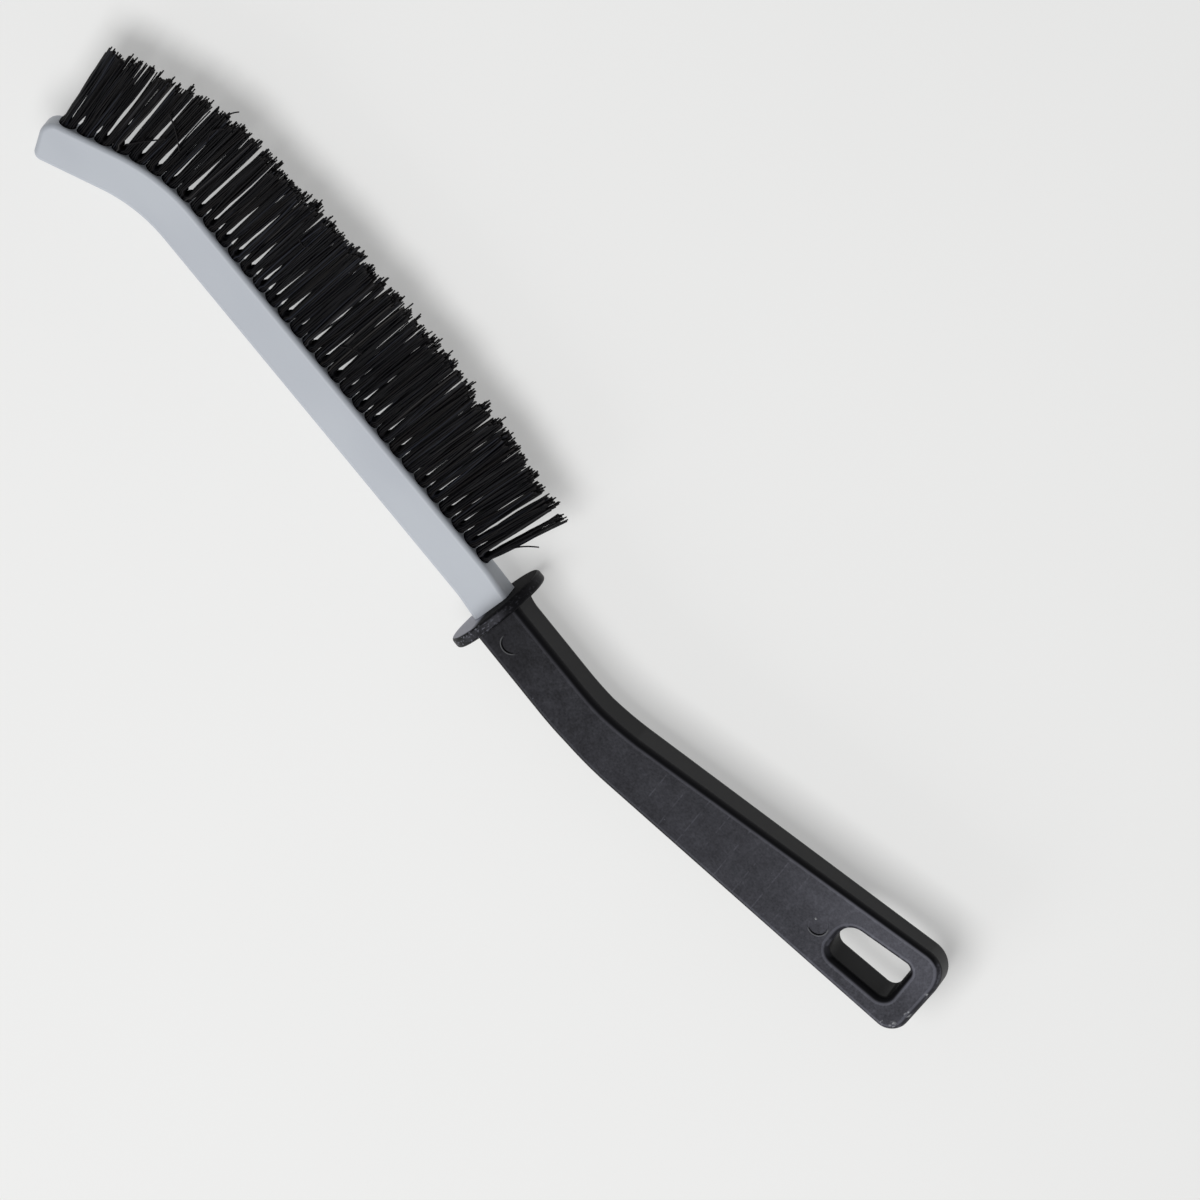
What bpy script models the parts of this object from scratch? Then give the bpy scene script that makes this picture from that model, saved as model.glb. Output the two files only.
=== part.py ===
"""Gap cleaning brush: a flat plastic head bar with a single row of stiff tufts, set in a moulded handle.

The bar runs along X with its free end at -X, the bristles point to +Y and Z goes through the
thickness. Sizes are in metres. Places are first worked out from the point where the bar's middle line
meets the tip side of the guard. One empty then carries every part, so that the lowest point lies on
Z = 0 under the middle of the whole brush.
"""
import math
import random

import bmesh
import bpy
from mathutils import Matrix, Vector

MM = 0.001

# Clearances and working allowances
SEAT_GAP = 0.3 * MM
CUT_OVERRUN = 1.5 * MM
WELD_DISTANCE = 0.005 * MM
FLAT_ANGLE = math.radians(0.3)
RIM_ANGLE = math.radians(50.0)
SMOOTH_ANGLE = math.radians(35.0)
ARC_STEP = math.radians(11.0)

# Head bar
BAR_WIDTH = 10.5 * MM
BAR_THICKNESS = 7.0 * MM
BAR_STRAIGHT = 117.2 * MM
BAR_BEND_RADIUS = 44.0 * MM
BAR_BEND_ANGLE = math.radians(28.0)
BAR_TIP_RUN = 18.1 * MM
BAR_TIP_SKEW = 1.0 * MM
BAR_EDGE_ROUND = 1.3 * MM
BAR_EDGE_SEGMENTS = 3
TIP_BRISTLE_CORNER = 3.5 * MM
TIP_SPINE_CORNER = 2.2 * MM
ROOT_FLARE_RUN = 8.0 * MM
ROOT_THICKNESS = 7.9 * MM
ROOT_SHIFT = 0.4 * MM
ROOT_FLARE_STEPS = 5

# Tang of the head bar, moulded into the handle
TANG_LENGTH = 24.0 * MM
TANG_WIDTH = 7.6 * MM
TANG_THICKNESS = 4.6 * MM
TANG_BURIED_RUN = 4.0 * MM
TANG_EDGE_ROUND = 0.6 * MM

# Row of tufts
TUFT_COUNT = 32
FIRST_TUFT_FROM_END = 4.6 * MM
LAST_TUFT_FROM_GUARD = 11.1 * MM
HOLE_RADIUS = 2.0 * MM
HOLE_DEPTH = 7.0 * MM
HOLE_SIDES = 16
PLUG_SIDES = 12
BRISTLE_REACH = 27.2 * MM
FAN_ANGLE = math.radians(17.0)
STRAND_SIDES = 4
STRAND_ROOT_RADIUS = 0.34 * MM
STRAND_TIP_RADIUS = 0.25 * MM
STRAND_BURIED_RUN = 0.8 * MM
STRAND_TIP_DRIFT = 0.16 * MM
STRAND_LENGTH_DRIFT = 0.9 * MM
TUFT_SEED = 7

# One row per strand of a half tuft: place along the bar and across it at the root, as shares of the
# root plug's radius, then the same at the tip, as shares of half the tuft pitch
HALF_TUFT_SHARES = (
    (0.26, -0.72, 0.30, -0.95),
    (0.26, -0.24, 0.28, -0.34),
    (0.26, 0.24, 0.31, 0.30),
    (0.26, 0.72, 0.28, 0.93),
    (0.70, -0.26, 0.76, -0.64),
    (0.70, 0.26, 0.79, 0.58),
)

# Lean of the tufts towards the free end, as shares of FAN_ANGLE, against the place in the row from the
# guard (0) to the free end (1)
LEAN_SHARES = (
    (0.00, -0.41), (0.06, -0.15), (0.12, 0.00), (0.25, 0.14), (0.40, 0.19), (0.55, 0.24),
    (0.66, 0.29), (0.76, 0.38), (0.84, 0.51), (0.90, 0.68), (0.96, 0.88), (1.00, 1.00),
)

# Free length of the tufts, as shares of BRISTLE_REACH, against the same place in the row
LENGTH_SHARES = (
    (0.00, 0.86), (0.10, 0.94), (0.30, 0.98), (0.50, 0.97), (0.70, 0.90), (0.90, 0.87), (1.00, 0.85),
)

# Handle
HANDLE_THICKNESS = 11.6 * MM
HANDLE_DROP = 0.8 * MM
HANDLE_NECK_RUN = 26.6 * MM
HANDLE_NECK_STEPS = 2
HANDLE_NECK_ANGLE = math.radians(-0.7)
HANDLE_BEND_RADIUS = 95.0 * MM
HANDLE_BEND_STEPS = 8
HANDLE_REAR_ANGLE = math.radians(12.9)
HANDLE_REAR_RUN = 90.6 * MM
HANDLE_NECK_WIDTH = 13.0 * MM
HANDLE_WIDENING_START = 36.0 * MM
HANDLE_END_WIDTH = 23.1 * MM
HANDLE_END_SKEW = 0.8 * MM
HANDLE_BRISTLE_CORNER = 6.5 * MM
HANDLE_SPINE_CORNER = 5.0 * MM
HANDLE_EDGE_ROUND = 2.0 * MM
HANDLE_EDGE_SEGMENTS = 4

# Guard between handle and head
GUARD_HEIGHT = 26.6 * MM
GUARD_WIDTH = 25.2 * MM
GUARD_THICKNESS = 2.9 * MM
GUARD_DROP = 0.55 * MM
GUARD_EDGE_ROUND = 0.8 * MM
GUARD_SIDES = 48

# Hanging slot
SLOT_FROM_END = 7.7 * MM
SLOT_LENGTH = 18.8 * MM
SLOT_START_WIDTH = 9.8 * MM
SLOT_END_WIDTH = 11.6 * MM
SLOT_START_SHIFT = 0.2 * MM
SLOT_END_SHIFT = 0.75 * MM
SLOT_START_BRISTLE_CORNER = 4.2 * MM
SLOT_START_SPINE_CORNER = 3.0 * MM
SLOT_END_BRISTLE_CORNER = 1.8 * MM
SLOT_END_SPINE_CORNER = 2.6 * MM

# Round pin marks left in the wide face by the mould
PIN_MARK_RADIUS = 2.35 * MM
PIN_MARK_DEPTH = 0.3 * MM
PIN_MARK_SIDES = 24
PIN_MARK_FROM_GUARD = 6.4 * MM
PIN_MARK_FROM_SLOT = 5.0 * MM

# Colours from the photograph, as linear values with roughness
HANDLE_BLACK = (0.031, 0.031, 0.034, 0.52)
BAR_GREY = (0.480, 0.512, 0.570, 0.45)
BRISTLE_BLACK = (0.010, 0.011, 0.014, 0.40)


def clear_scene():
    """Remove whatever the scene holds."""
    for item in list(bpy.data.objects):
        bpy.data.objects.remove(item, do_unlink=True)


def new_collection(name):
    """A collection linked to the scene."""
    collection = bpy.data.collections.new(name)
    bpy.context.scene.collection.children.link(collection)
    return collection


def plastic(name, finish):
    """A Principled material from a colour and a roughness."""
    red, green, blue, roughness = finish
    material = bpy.data.materials.new(name)
    material.use_nodes = True
    shader = material.node_tree.nodes["Principled BSDF"]
    shader.inputs["Base Color"].default_value = (red, green, blue, 1.0)
    shader.inputs["Roughness"].default_value = roughness
    shader.inputs["Metallic"].default_value = 0.0
    return material


def link_mesh(name, bm, collection):
    """Turn a bmesh into an object."""
    mesh = bpy.data.meshes.new(name)
    bm.to_mesh(mesh)
    bm.free()
    item = bpy.data.objects.new(name, mesh)
    collection.objects.link(item)
    return item


def as_cutter(item):
    """A shape that only cuts or joins: never rendered and drawn as wire."""
    item.hide_render = True
    item.display_type = "WIRE"
    return item


def freeze(item):
    """Replace an object's mesh by what its modifiers make."""
    graph = bpy.context.evaluated_depsgraph_get()
    mesh = bpy.data.meshes.new_from_object(item.evaluated_get(graph))
    item.modifiers.clear()
    item.data = mesh
    return item


def boolean(item, operation, other):
    """Join or cut with another mesh."""
    modifier = item.modifiers.new(other.name, "BOOLEAN")
    modifier.operation = operation
    modifier.solver = "EXACT"
    modifier.object = other


def bevel(item, width, segments, clamped=True):
    """Round every edge that turns by more than RIM_ANGLE, by the same width all along.

    A clamped bevel is held back by the shortest edge, so an outline with fine inner arcs goes unclamped.
    """
    modifier = item.modifiers.new("edge_round", "BEVEL")
    modifier.width = width
    modifier.segments = segments
    modifier.limit_method = "ANGLE"
    modifier.angle_limit = RIM_ANGLE
    modifier.use_clamp_overlap = clamped
    modifier.loop_slide = False


def round_off(points):
    """Points of a closed outline; each entry is a corner and the radius that rounds it."""
    outline = []
    count = len(points)
    for index, (corner, radius) in enumerate(points):
        if not radius:
            outline.append(corner)
            continue
        before = (points[index - 1][0] - corner).normalized()
        after = (points[(index + 1) % count][0] - corner).normalized()
        half_opening = before.angle(after) / 2
        centre = corner + (before + after).normalized() * radius / math.sin(half_opening)
        first = corner + before * radius / math.tan(half_opening) - centre
        last = corner + after * radius / math.tan(half_opening) - centre
        turn = first.angle_signed(last)
        steps = max(2, math.ceil(abs(turn) / ARC_STEP))
        for step in range(steps + 1):
            spin = Matrix.Rotation(-turn * step / steps, 2)
            outline.append(centre + spin @ first)
    return outline


def plate(name, loops, thickness, collection):
    """A flat outline, with any inner outlines as holes, given a thickness."""
    curve = bpy.data.curves.new(name, "CURVE")
    curve.dimensions = "2D"
    curve.fill_mode = "BOTH"
    curve.extrude = thickness / 2
    for loop in loops:
        spline = curve.splines.new("POLY")
        spline.points.add(len(loop) - 1)
        for point, place in zip(spline.points, loop):
            point.co = (place.x, place.y, 0.0, 1.0)
        spline.use_cyclic_u = True
    drawing = bpy.data.objects.new(name + "_outline", curve)
    collection.objects.link(drawing)
    graph = bpy.context.evaluated_depsgraph_get()
    mesh = bpy.data.meshes.new_from_object(drawing.evaluated_get(graph))
    bm = bmesh.new()
    bm.from_mesh(mesh)
    bpy.data.objects.remove(drawing, do_unlink=True)
    bmesh.ops.remove_doubles(bm, verts=bm.verts, dist=WELD_DISTANCE)
    bmesh.ops.dissolve_limit(bm, angle_limit=FLAT_ANGLE, verts=bm.verts, edges=bm.edges)
    bmesh.ops.recalc_face_normals(bm, faces=bm.faces)
    return link_mesh(name, bm, collection)


def box(name, low, high, collection):
    """An upright box between two corners."""
    bm = bmesh.new()
    size = high - low
    matrix = Matrix.Translation((low + high) / 2) @ Matrix.Diagonal(size).to_4x4()
    bmesh.ops.create_cube(bm, size=1.0, matrix=matrix)
    return link_mesh(name, bm, collection)


def read_shares(table, share):
    """Value of a table of (place, value) shares at a place between its ends."""
    for (place, value), (next_place, next_value) in zip(table, table[1:]):
        if share <= next_place:
            part = (share - place) / (next_place - place)
            return value + (next_value - value) * part
    return table[-1][1]


def ease(share):
    """Smooth rise from 0 to 1."""
    share = min(max(share, 0.0), 1.0)
    return share * share * (3 - 2 * share)


def bar_place(run, offset):
    """A point of the bar and its heading: run along the line at that offset, from guard to free end.

    The offset is measured from the middle line towards the bristles.
    """
    bend_length = (BAR_BEND_RADIUS + offset) * BAR_BEND_ANGLE
    if run <= BAR_STRAIGHT:
        return Vector((-run, offset)), 0.0
    heading = min((run - BAR_STRAIGHT) / (BAR_BEND_RADIUS + offset), BAR_BEND_ANGLE)
    centre = Vector((-BAR_STRAIGHT, -BAR_BEND_RADIUS))
    outward = Vector((-math.sin(heading), math.cos(heading)))
    along = Vector((-math.cos(heading), -math.sin(heading)))
    past_bend = max(run - BAR_STRAIGHT - bend_length, 0.0)
    return centre + outward * (BAR_BEND_RADIUS + offset) + along * past_bend, heading


def bar_edge_points(offset):
    """Corners of one long edge of the bar, from past the guard face to the slightly slanted end."""
    start = Vector((CUT_OVERRUN + BAR_EDGE_ROUND, offset))
    bend_length = (BAR_BEND_RADIUS + offset) * BAR_BEND_ANGLE
    steps = math.ceil(BAR_BEND_ANGLE / ARC_STEP) * 3
    bend = [bar_place(BAR_STRAIGHT + bend_length * step / steps, offset)[0] for step in range(steps + 1)]
    slant = BAR_TIP_SKEW * max(offset, 0.0) / (BAR_WIDTH / 2)
    tip = bar_place(BAR_STRAIGHT + bend_length + BAR_TIP_RUN + slant, offset)[0]
    return [start] + bend + [tip]


def head_bar(parts, cutters, tufts):
    """The flat bar with its bent tip, its root that flares at the guard, the tang and the tuft holes."""
    spine = [(point, 0.0) for point in bar_edge_points(-BAR_WIDTH / 2)]
    bristle = [(point, 0.0) for point in bar_edge_points(BAR_WIDTH / 2)]
    spine[-1] = (spine[-1][0], TIP_SPINE_CORNER)
    bristle[-1] = (bristle[-1][0], TIP_BRISTLE_CORNER)
    bar = plate("head_bar", [round_off(spine + bristle[::-1])], BAR_THICKNESS, parts)
    bevel(bar, BAR_EDGE_ROUND, BAR_EDGE_SEGMENTS, clamped=False)
    freeze(bar)
    flare_root(bar)

    tang_low = Vector((-TANG_BURIED_RUN, -HANDLE_DROP - TANG_WIDTH / 2, -TANG_THICKNESS / 2))
    tang_high = Vector((TANG_LENGTH, -HANDLE_DROP + TANG_WIDTH / 2, TANG_THICKNESS / 2))
    tang = as_cutter(box("tang_form", tang_low, tang_high, cutters))
    bevel(tang, TANG_EDGE_ROUND, 1)
    boolean(bar, "UNION", tang)

    bm = bmesh.new()
    for placing in tufts:
        middle = Matrix.Translation((0.0, 0.0, (CUT_OVERRUN - HOLE_DEPTH) / 2))
        bmesh.ops.create_cone(
            bm, cap_ends=True, segments=HOLE_SIDES, radius1=HOLE_RADIUS, radius2=HOLE_RADIUS,
            depth=HOLE_DEPTH + CUT_OVERRUN, matrix=placing @ middle,
        )
    boolean(bar, "DIFFERENCE", as_cutter(link_mesh("tuft_hole_cutters", bm, cutters)))
    return bar


def flare_root(bar):
    """Cut the bar off square at the guard, and thicken its last run while it shifts to the spine side."""
    bm = bmesh.new()
    bm.from_mesh(bar.data)
    seat = -SEAT_GAP
    for step in range(ROOT_FLARE_STEPS):
        station = seat - ROOT_FLARE_RUN * (1 - step / ROOT_FLARE_STEPS)
        everything = bm.verts[:] + bm.edges[:] + bm.faces[:]
        bmesh.ops.bisect_plane(bm, geom=everything, plane_co=(station, 0, 0), plane_no=(1, 0, 0))
    everything = bm.verts[:] + bm.edges[:] + bm.faces[:]
    cut = bmesh.ops.bisect_plane(
        bm, geom=everything, plane_co=(seat, 0, 0), plane_no=(1, 0, 0), clear_outer=True
    )
    rim = [piece for piece in cut["geom_cut"] if isinstance(piece, bmesh.types.BMEdge)]
    bmesh.ops.contextual_create(bm, geom=rim)
    for vert in bm.verts:
        share = ease((vert.co.x - seat + ROOT_FLARE_RUN) / ROOT_FLARE_RUN)
        vert.co.z *= 1 + (ROOT_THICKNESS / BAR_THICKNESS - 1) * share
        vert.co.y -= ROOT_SHIFT * share
    bmesh.ops.recalc_face_normals(bm, faces=bm.faces)
    bm.to_mesh(bar.data)
    bm.free()


def tuft_places():
    """Where each tuft sits, from the free end to the guard: +Z out of the hole, X along the bar."""
    offset = BAR_WIDTH / 2
    row_end = BAR_STRAIGHT + (BAR_BEND_RADIUS + offset) * BAR_BEND_ANGLE + BAR_TIP_RUN - FIRST_TUFT_FROM_END
    places = []
    for index in range(TUFT_COUNT):
        share = 1 - index / (TUFT_COUNT - 1)
        mouth, _ = bar_place(LAST_TUFT_FROM_GUARD + (row_end - LAST_TUFT_FROM_GUARD) * share, offset)
        lean = FAN_ANGLE * read_shares(LEAN_SHARES, share)
        reach = BRISTLE_REACH * read_shares(LENGTH_SHARES, share)
        places.append((mouth, lean, reach))
    pitch = (row_end - LAST_TUFT_FROM_GUARD) / (TUFT_COUNT - 1)
    return places, pitch


def tuft_matrix(mouth, lean):
    """Placing of a tuft or its hole: out of the bristle side, leaning to the free end."""
    turn = Matrix.Rotation(lean, 4, "Z") @ Matrix.Rotation(math.radians(-90.0), 4, "X")
    return Matrix.Translation((mouth.x, mouth.y, 0.0)) @ turn


def strand(bm, root, tip):
    """One straight tapered bristle."""
    reach = tip - root
    along = reach.to_track_quat("Z", "Y").to_matrix().to_4x4()
    bmesh.ops.create_cone(
        bm, cap_ends=True, segments=STRAND_SIDES, radius1=STRAND_ROOT_RADIUS,
        radius2=STRAND_TIP_RADIUS, depth=reach.length,
        matrix=Matrix.Translation((root + tip) / 2) @ along,
    )


def tuft(name, placing, reach, half_pitch, chance, parts, cutters):
    """A folded bundle: its packed root in the hole, and two halves that spread apart."""
    plug_radius = HOLE_RADIUS - SEAT_GAP
    plug_depth = HOLE_DEPTH - SEAT_GAP
    bm = bmesh.new()
    bmesh.ops.create_cone(
        bm, cap_ends=True, segments=PLUG_SIDES, radius1=plug_radius, radius2=plug_radius,
        depth=plug_depth, matrix=Matrix.Translation((0.0, 0.0, -plug_depth / 2)),
    )
    item = link_mesh(name, bm, parts)

    bm = bmesh.new()
    for side in (-1, 1):
        for root_along, root_across, tip_along, tip_across in HALF_TUFT_SHARES:
            root = Vector((side * root_along, side * root_across, 0.0)) * plug_radius
            drift = Vector((chance.uniform(-1, 1), chance.uniform(-1, 1), 0.0)) * STRAND_TIP_DRIFT
            tip = Vector((side * tip_along, side * tip_across, 0.0)) * half_pitch + drift
            tip.z = reach + chance.uniform(-1, 1) * STRAND_LENGTH_DRIFT
            buried = root - (tip - root).normalized() * STRAND_BURIED_RUN
            strand(bm, buried, tip)
    strands = as_cutter(link_mesh(name + "_strands", bm, cutters))
    for piece in (item, strands):
        piece.location = placing.to_translation()
        piece.rotation_euler = placing.to_euler()
    boolean(item, "UNION", strands)
    return item


def handle_axis(run):
    """A point of the handle's middle line and its heading, from the guard's tip side to the end."""
    neck = Vector((math.cos(HANDLE_NECK_ANGLE), math.sin(HANDLE_NECK_ANGLE)))
    start = Vector((0.0, -HANDLE_DROP))
    if run <= HANDLE_NECK_RUN:
        return start + neck * run, HANDLE_NECK_ANGLE
    bend_start = start + neck * HANDLE_NECK_RUN
    centre = bend_start + Vector((-neck.y, neck.x)) * HANDLE_BEND_RADIUS
    bend_angle = HANDLE_REAR_ANGLE - HANDLE_NECK_ANGLE
    turned = min((run - HANDLE_NECK_RUN) / HANDLE_BEND_RADIUS, bend_angle)
    heading = HANDLE_NECK_ANGLE + turned
    place = centre + Vector((math.sin(heading), -math.cos(heading))) * HANDLE_BEND_RADIUS
    past_bend = max(run - HANDLE_NECK_RUN - bend_angle * HANDLE_BEND_RADIUS, 0.0)
    return place + Vector((math.cos(heading), math.sin(heading))) * past_bend, heading


def handle_length():
    """Length of the handle along its middle line."""
    bend_angle = HANDLE_REAR_ANGLE - HANDLE_NECK_ANGLE
    return HANDLE_NECK_RUN + HANDLE_BEND_RADIUS * bend_angle + HANDLE_REAR_RUN


def handle_half_width(run):
    """Half the handle's width at a run along its middle line: even, then widening steadily to the end."""
    share = max(run - HANDLE_WIDENING_START, 0.0) / (handle_length() - HANDLE_WIDENING_START)
    return (HANDLE_NECK_WIDTH + (HANDLE_END_WIDTH - HANDLE_NECK_WIDTH) * share) / 2


def beside_axis(run, offset):
    """A point beside the handle's middle line; a positive offset lies towards the bristle side."""
    place, heading = handle_axis(run)
    return place + Vector((-math.sin(heading), math.cos(heading))) * offset


def handle_outline():
    """Outline of the wide face, from inside the guard along the spine side and back."""
    end = handle_length()
    bend_length = end - HANDLE_NECK_RUN - HANDLE_REAR_RUN
    neck_runs = [HANDLE_NECK_RUN * (step + 1) / HANDLE_NECK_STEPS for step in range(HANDLE_NECK_STEPS)]
    bend_runs = [bend_length * (step + 1) / HANDLE_BEND_STEPS for step in range(HANDLE_BEND_STEPS)]
    runs = [GUARD_THICKNESS / 2] + neck_runs + [HANDLE_NECK_RUN + run for run in bend_runs]
    spine = [(beside_axis(run, -handle_half_width(run)), 0.0) for run in runs]
    bristle = [(beside_axis(run, handle_half_width(run)), 0.0) for run in runs]
    spine.append((beside_axis(end - HANDLE_END_SKEW, -HANDLE_END_WIDTH / 2), HANDLE_SPINE_CORNER))
    bristle.append((beside_axis(end, HANDLE_END_WIDTH / 2), HANDLE_BRISTLE_CORNER))
    return round_off(spine + bristle[::-1])


def slot_outline():
    """Outline of the hanging slot, which widens towards the end as the handle does."""
    slot_end = handle_length() - SLOT_FROM_END
    slot_start = slot_end - SLOT_LENGTH
    corners = (
        (slot_start, SLOT_START_SHIFT - SLOT_START_WIDTH / 2, SLOT_START_SPINE_CORNER),
        (slot_end, SLOT_END_SHIFT - SLOT_END_WIDTH / 2, SLOT_END_SPINE_CORNER),
        (slot_end, SLOT_END_SHIFT + SLOT_END_WIDTH / 2, SLOT_END_BRISTLE_CORNER),
        (slot_start, SLOT_START_SHIFT + SLOT_START_WIDTH / 2, SLOT_START_BRISTLE_CORNER),
    )
    return round_off([(beside_axis(run, offset), radius) for run, offset, radius in corners])


def handle(parts, cutters):
    """The handle moulding: flat grip with its hanging slot, and the oval guard in one piece."""
    grip = plate("handle", [handle_outline(), slot_outline()], HANDLE_THICKNESS, parts)
    bevel(grip, HANDLE_EDGE_ROUND, HANDLE_EDGE_SEGMENTS, clamped=False)

    bpy.ops.mesh.primitive_cylinder_add(
        vertices=GUARD_SIDES, radius=GUARD_HEIGHT / 2, depth=GUARD_THICKNESS,
        location=(GUARD_THICKNESS / 2, -GUARD_DROP, 0.0), rotation=(0.0, math.radians(90.0), 0.0),
    )
    guard = bpy.context.object
    guard.name = "guard_form"
    guard.data.transform(Matrix.Diagonal((GUARD_WIDTH / GUARD_HEIGHT, 1.0, 1.0, 1.0)))
    for holder in list(guard.users_collection):
        holder.objects.unlink(guard)
    cutters.objects.link(guard)
    bevel(as_cutter(guard), GUARD_EDGE_ROUND, 2)
    boolean(grip, "UNION", guard)

    half_width = TANG_WIDTH / 2 + SEAT_GAP
    half_thickness = TANG_THICKNESS / 2 + SEAT_GAP
    socket_low = Vector((-CUT_OVERRUN, -HANDLE_DROP - half_width, -half_thickness))
    socket_high = Vector((TANG_LENGTH + SEAT_GAP, -HANDLE_DROP + half_width, half_thickness))
    boolean(grip, "DIFFERENCE", as_cutter(box("tang_socket_cutter", socket_low, socket_high, cutters)))

    slot_start = handle_length() - SLOT_FROM_END - SLOT_LENGTH
    bm = bmesh.new()
    for run in (GUARD_THICKNESS + PIN_MARK_FROM_GUARD, slot_start - PIN_MARK_FROM_SLOT):
        place, _ = handle_axis(run)
        middle = HANDLE_THICKNESS / 2 + (CUT_OVERRUN - PIN_MARK_DEPTH) / 2
        bmesh.ops.create_cone(
            bm, cap_ends=True, segments=PIN_MARK_SIDES, radius1=PIN_MARK_RADIUS,
            radius2=PIN_MARK_RADIUS, depth=CUT_OVERRUN + PIN_MARK_DEPTH,
            matrix=Matrix.Translation((place.x, place.y, middle)),
        )
    boolean(grip, "DIFFERENCE", as_cutter(link_mesh("pin_mark_cutters", bm, cutters)))
    return grip


def settle_on_ground(carrier, parts):
    """Move the carrying empty so that the brush stands on Z = 0, centred on the Z axis."""
    graph = bpy.context.evaluated_depsgraph_get()
    low = Vector((math.inf, math.inf, math.inf))
    high = -low
    for item in parts.objects:
        solid = item.evaluated_get(graph)
        for vert in solid.to_mesh().vertices:
            place = solid.matrix_world @ vert.co
            low = Vector(map(min, low, place))
            high = Vector(map(max, high, place))
        solid.to_mesh_clear()
    carrier.location = (-(low.x + high.x) / 2, -(low.y + high.y) / 2, -low.z)
    print("size in mm:", [round(side / MM, 2) for side in high - low])


def main():
    """Build the brush."""
    clear_scene()
    parts = new_collection("gap_cleaning_brush")
    cutters = new_collection("cutters")
    guides = new_collection("guides")
    black = plastic("handle_black", HANDLE_BLACK)
    grey = plastic("bar_grey", BAR_GREY)
    bristle = plastic("bristle_black", BRISTLE_BLACK)

    places, pitch = tuft_places()
    placings = [tuft_matrix(mouth, lean) for mouth, lean, _ in places]
    bar = head_bar(parts, cutters, placings)
    bar.data.materials.append(grey)
    grip = handle(parts, cutters)
    grip.data.materials.append(black)
    chance = random.Random(TUFT_SEED)
    for index, (placing, (_, _, reach)) in enumerate(zip(placings, places)):
        name = f"tuft_{index + 1:02d}"
        bundle = tuft(name, placing, reach, pitch / 2, chance, parts, cutters)
        bundle.data.materials.append(bristle)

    for item in parts.objects:
        item.data.shade_smooth()
        item.data.set_sharp_from_angle(angle=SMOOTH_ANGLE)
    carrier = bpy.data.objects.new("brush_carrier", None)
    guides.objects.link(carrier)
    bpy.context.view_layer.update()
    settle_on_ground(carrier, parts)
    for item in list(parts.objects) + list(cutters.objects):
        item.parent = carrier
    bpy.context.view_layer.update()
    strands = TUFT_COUNT * 2 * len(HALF_TUFT_SHARES)
    print("tuft pitch in mm:", round(pitch / MM, 3), "strands:", strands)


main()
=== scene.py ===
# %% [markdown]
# The object is a gap cleaning brush: a flat pale bar with a bent free end and one row of stiff black
# tufts, moulded into a black handle with a round guard and a hanging slot. Its solids are loaded as a
# fixed frame. A look modelled freely would drift away from them, so every piece is drawn in the frame's
# own place and real size.

# %% Load the frame and keep its box
import math
import random

import bmesh
import bpy
from mathutils import Matrix, Vector


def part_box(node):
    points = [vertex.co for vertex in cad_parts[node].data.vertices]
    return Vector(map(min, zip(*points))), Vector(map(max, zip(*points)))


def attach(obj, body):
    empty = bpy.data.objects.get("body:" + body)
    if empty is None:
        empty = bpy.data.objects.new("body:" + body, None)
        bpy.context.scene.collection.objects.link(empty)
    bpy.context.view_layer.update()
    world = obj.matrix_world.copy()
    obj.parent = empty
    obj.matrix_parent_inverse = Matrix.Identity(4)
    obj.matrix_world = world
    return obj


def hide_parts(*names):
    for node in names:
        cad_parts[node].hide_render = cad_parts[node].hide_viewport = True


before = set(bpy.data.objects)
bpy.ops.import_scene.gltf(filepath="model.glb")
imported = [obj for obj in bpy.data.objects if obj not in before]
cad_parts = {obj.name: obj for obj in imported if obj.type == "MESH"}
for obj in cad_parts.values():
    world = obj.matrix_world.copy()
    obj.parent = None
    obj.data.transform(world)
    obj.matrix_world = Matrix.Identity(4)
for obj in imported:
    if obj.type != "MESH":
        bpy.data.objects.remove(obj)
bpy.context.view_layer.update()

MM = 0.001


# %% [markdown]
# All shapes are drawn in the brush's own axes: X along the bar from the guard's tip side, with the free
# end at negative X, Y towards the bristles, Z through the thickness. Their middle could be typed in as
# three numbers. It is read off the handle's box instead, because the guard's rim gives all three.

# %% Find the middle of the brush's axes
GUARD_HEIGHT = 26.6 * MM
GUARD_DROP = 0.55 * MM
handle_low, handle_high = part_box("handle")
GUARD_WIDTH = handle_high.z - handle_low.z
middle_y = handle_low.y + GUARD_HEIGHT / 2 + GUARD_DROP
MIDDLE = Vector((handle_low.x, middle_y, (handle_low.z + handle_high.z) / 2))
print("middle of the axes in mm:", [round(part / MM, 2) for part in MIDDLE])

# %% [markdown]
# A long lens far away keeps the bar's edges parallel, as in the photograph. The camera is tilted from
# straight above towards the bristles, turned a little along the brush, and rolled so that the bar runs
# down the picture from left to right. It could be aimed with a constraint, but three angles say plainly
# where it stands.

# %% Camera
CAMERA_TILT = math.radians(28.0)
CAMERA_TURN = math.radians(7.0)
CAMERA_ROLL = math.radians(50.47)
CAMERA_DISTANCE = 12.0
FRAME_WIDTH = 283.6 * MM
FRAME_ALONG = 15.1 * MM
FRAME_ACROSS = 19.3 * MM
SENSOR_WIDTH = 36.0


def add_object(name, data):
    """A new object in the scene."""
    item = bpy.data.objects.new(name, data)
    bpy.context.scene.collection.objects.link(item)
    return item


def placing(origin, *axes):
    """Matrix that moves the origin to a place, and X, Y and Z to three directions."""
    return Matrix.Translation(origin) @ Matrix(axes).transposed().to_4x4()


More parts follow.
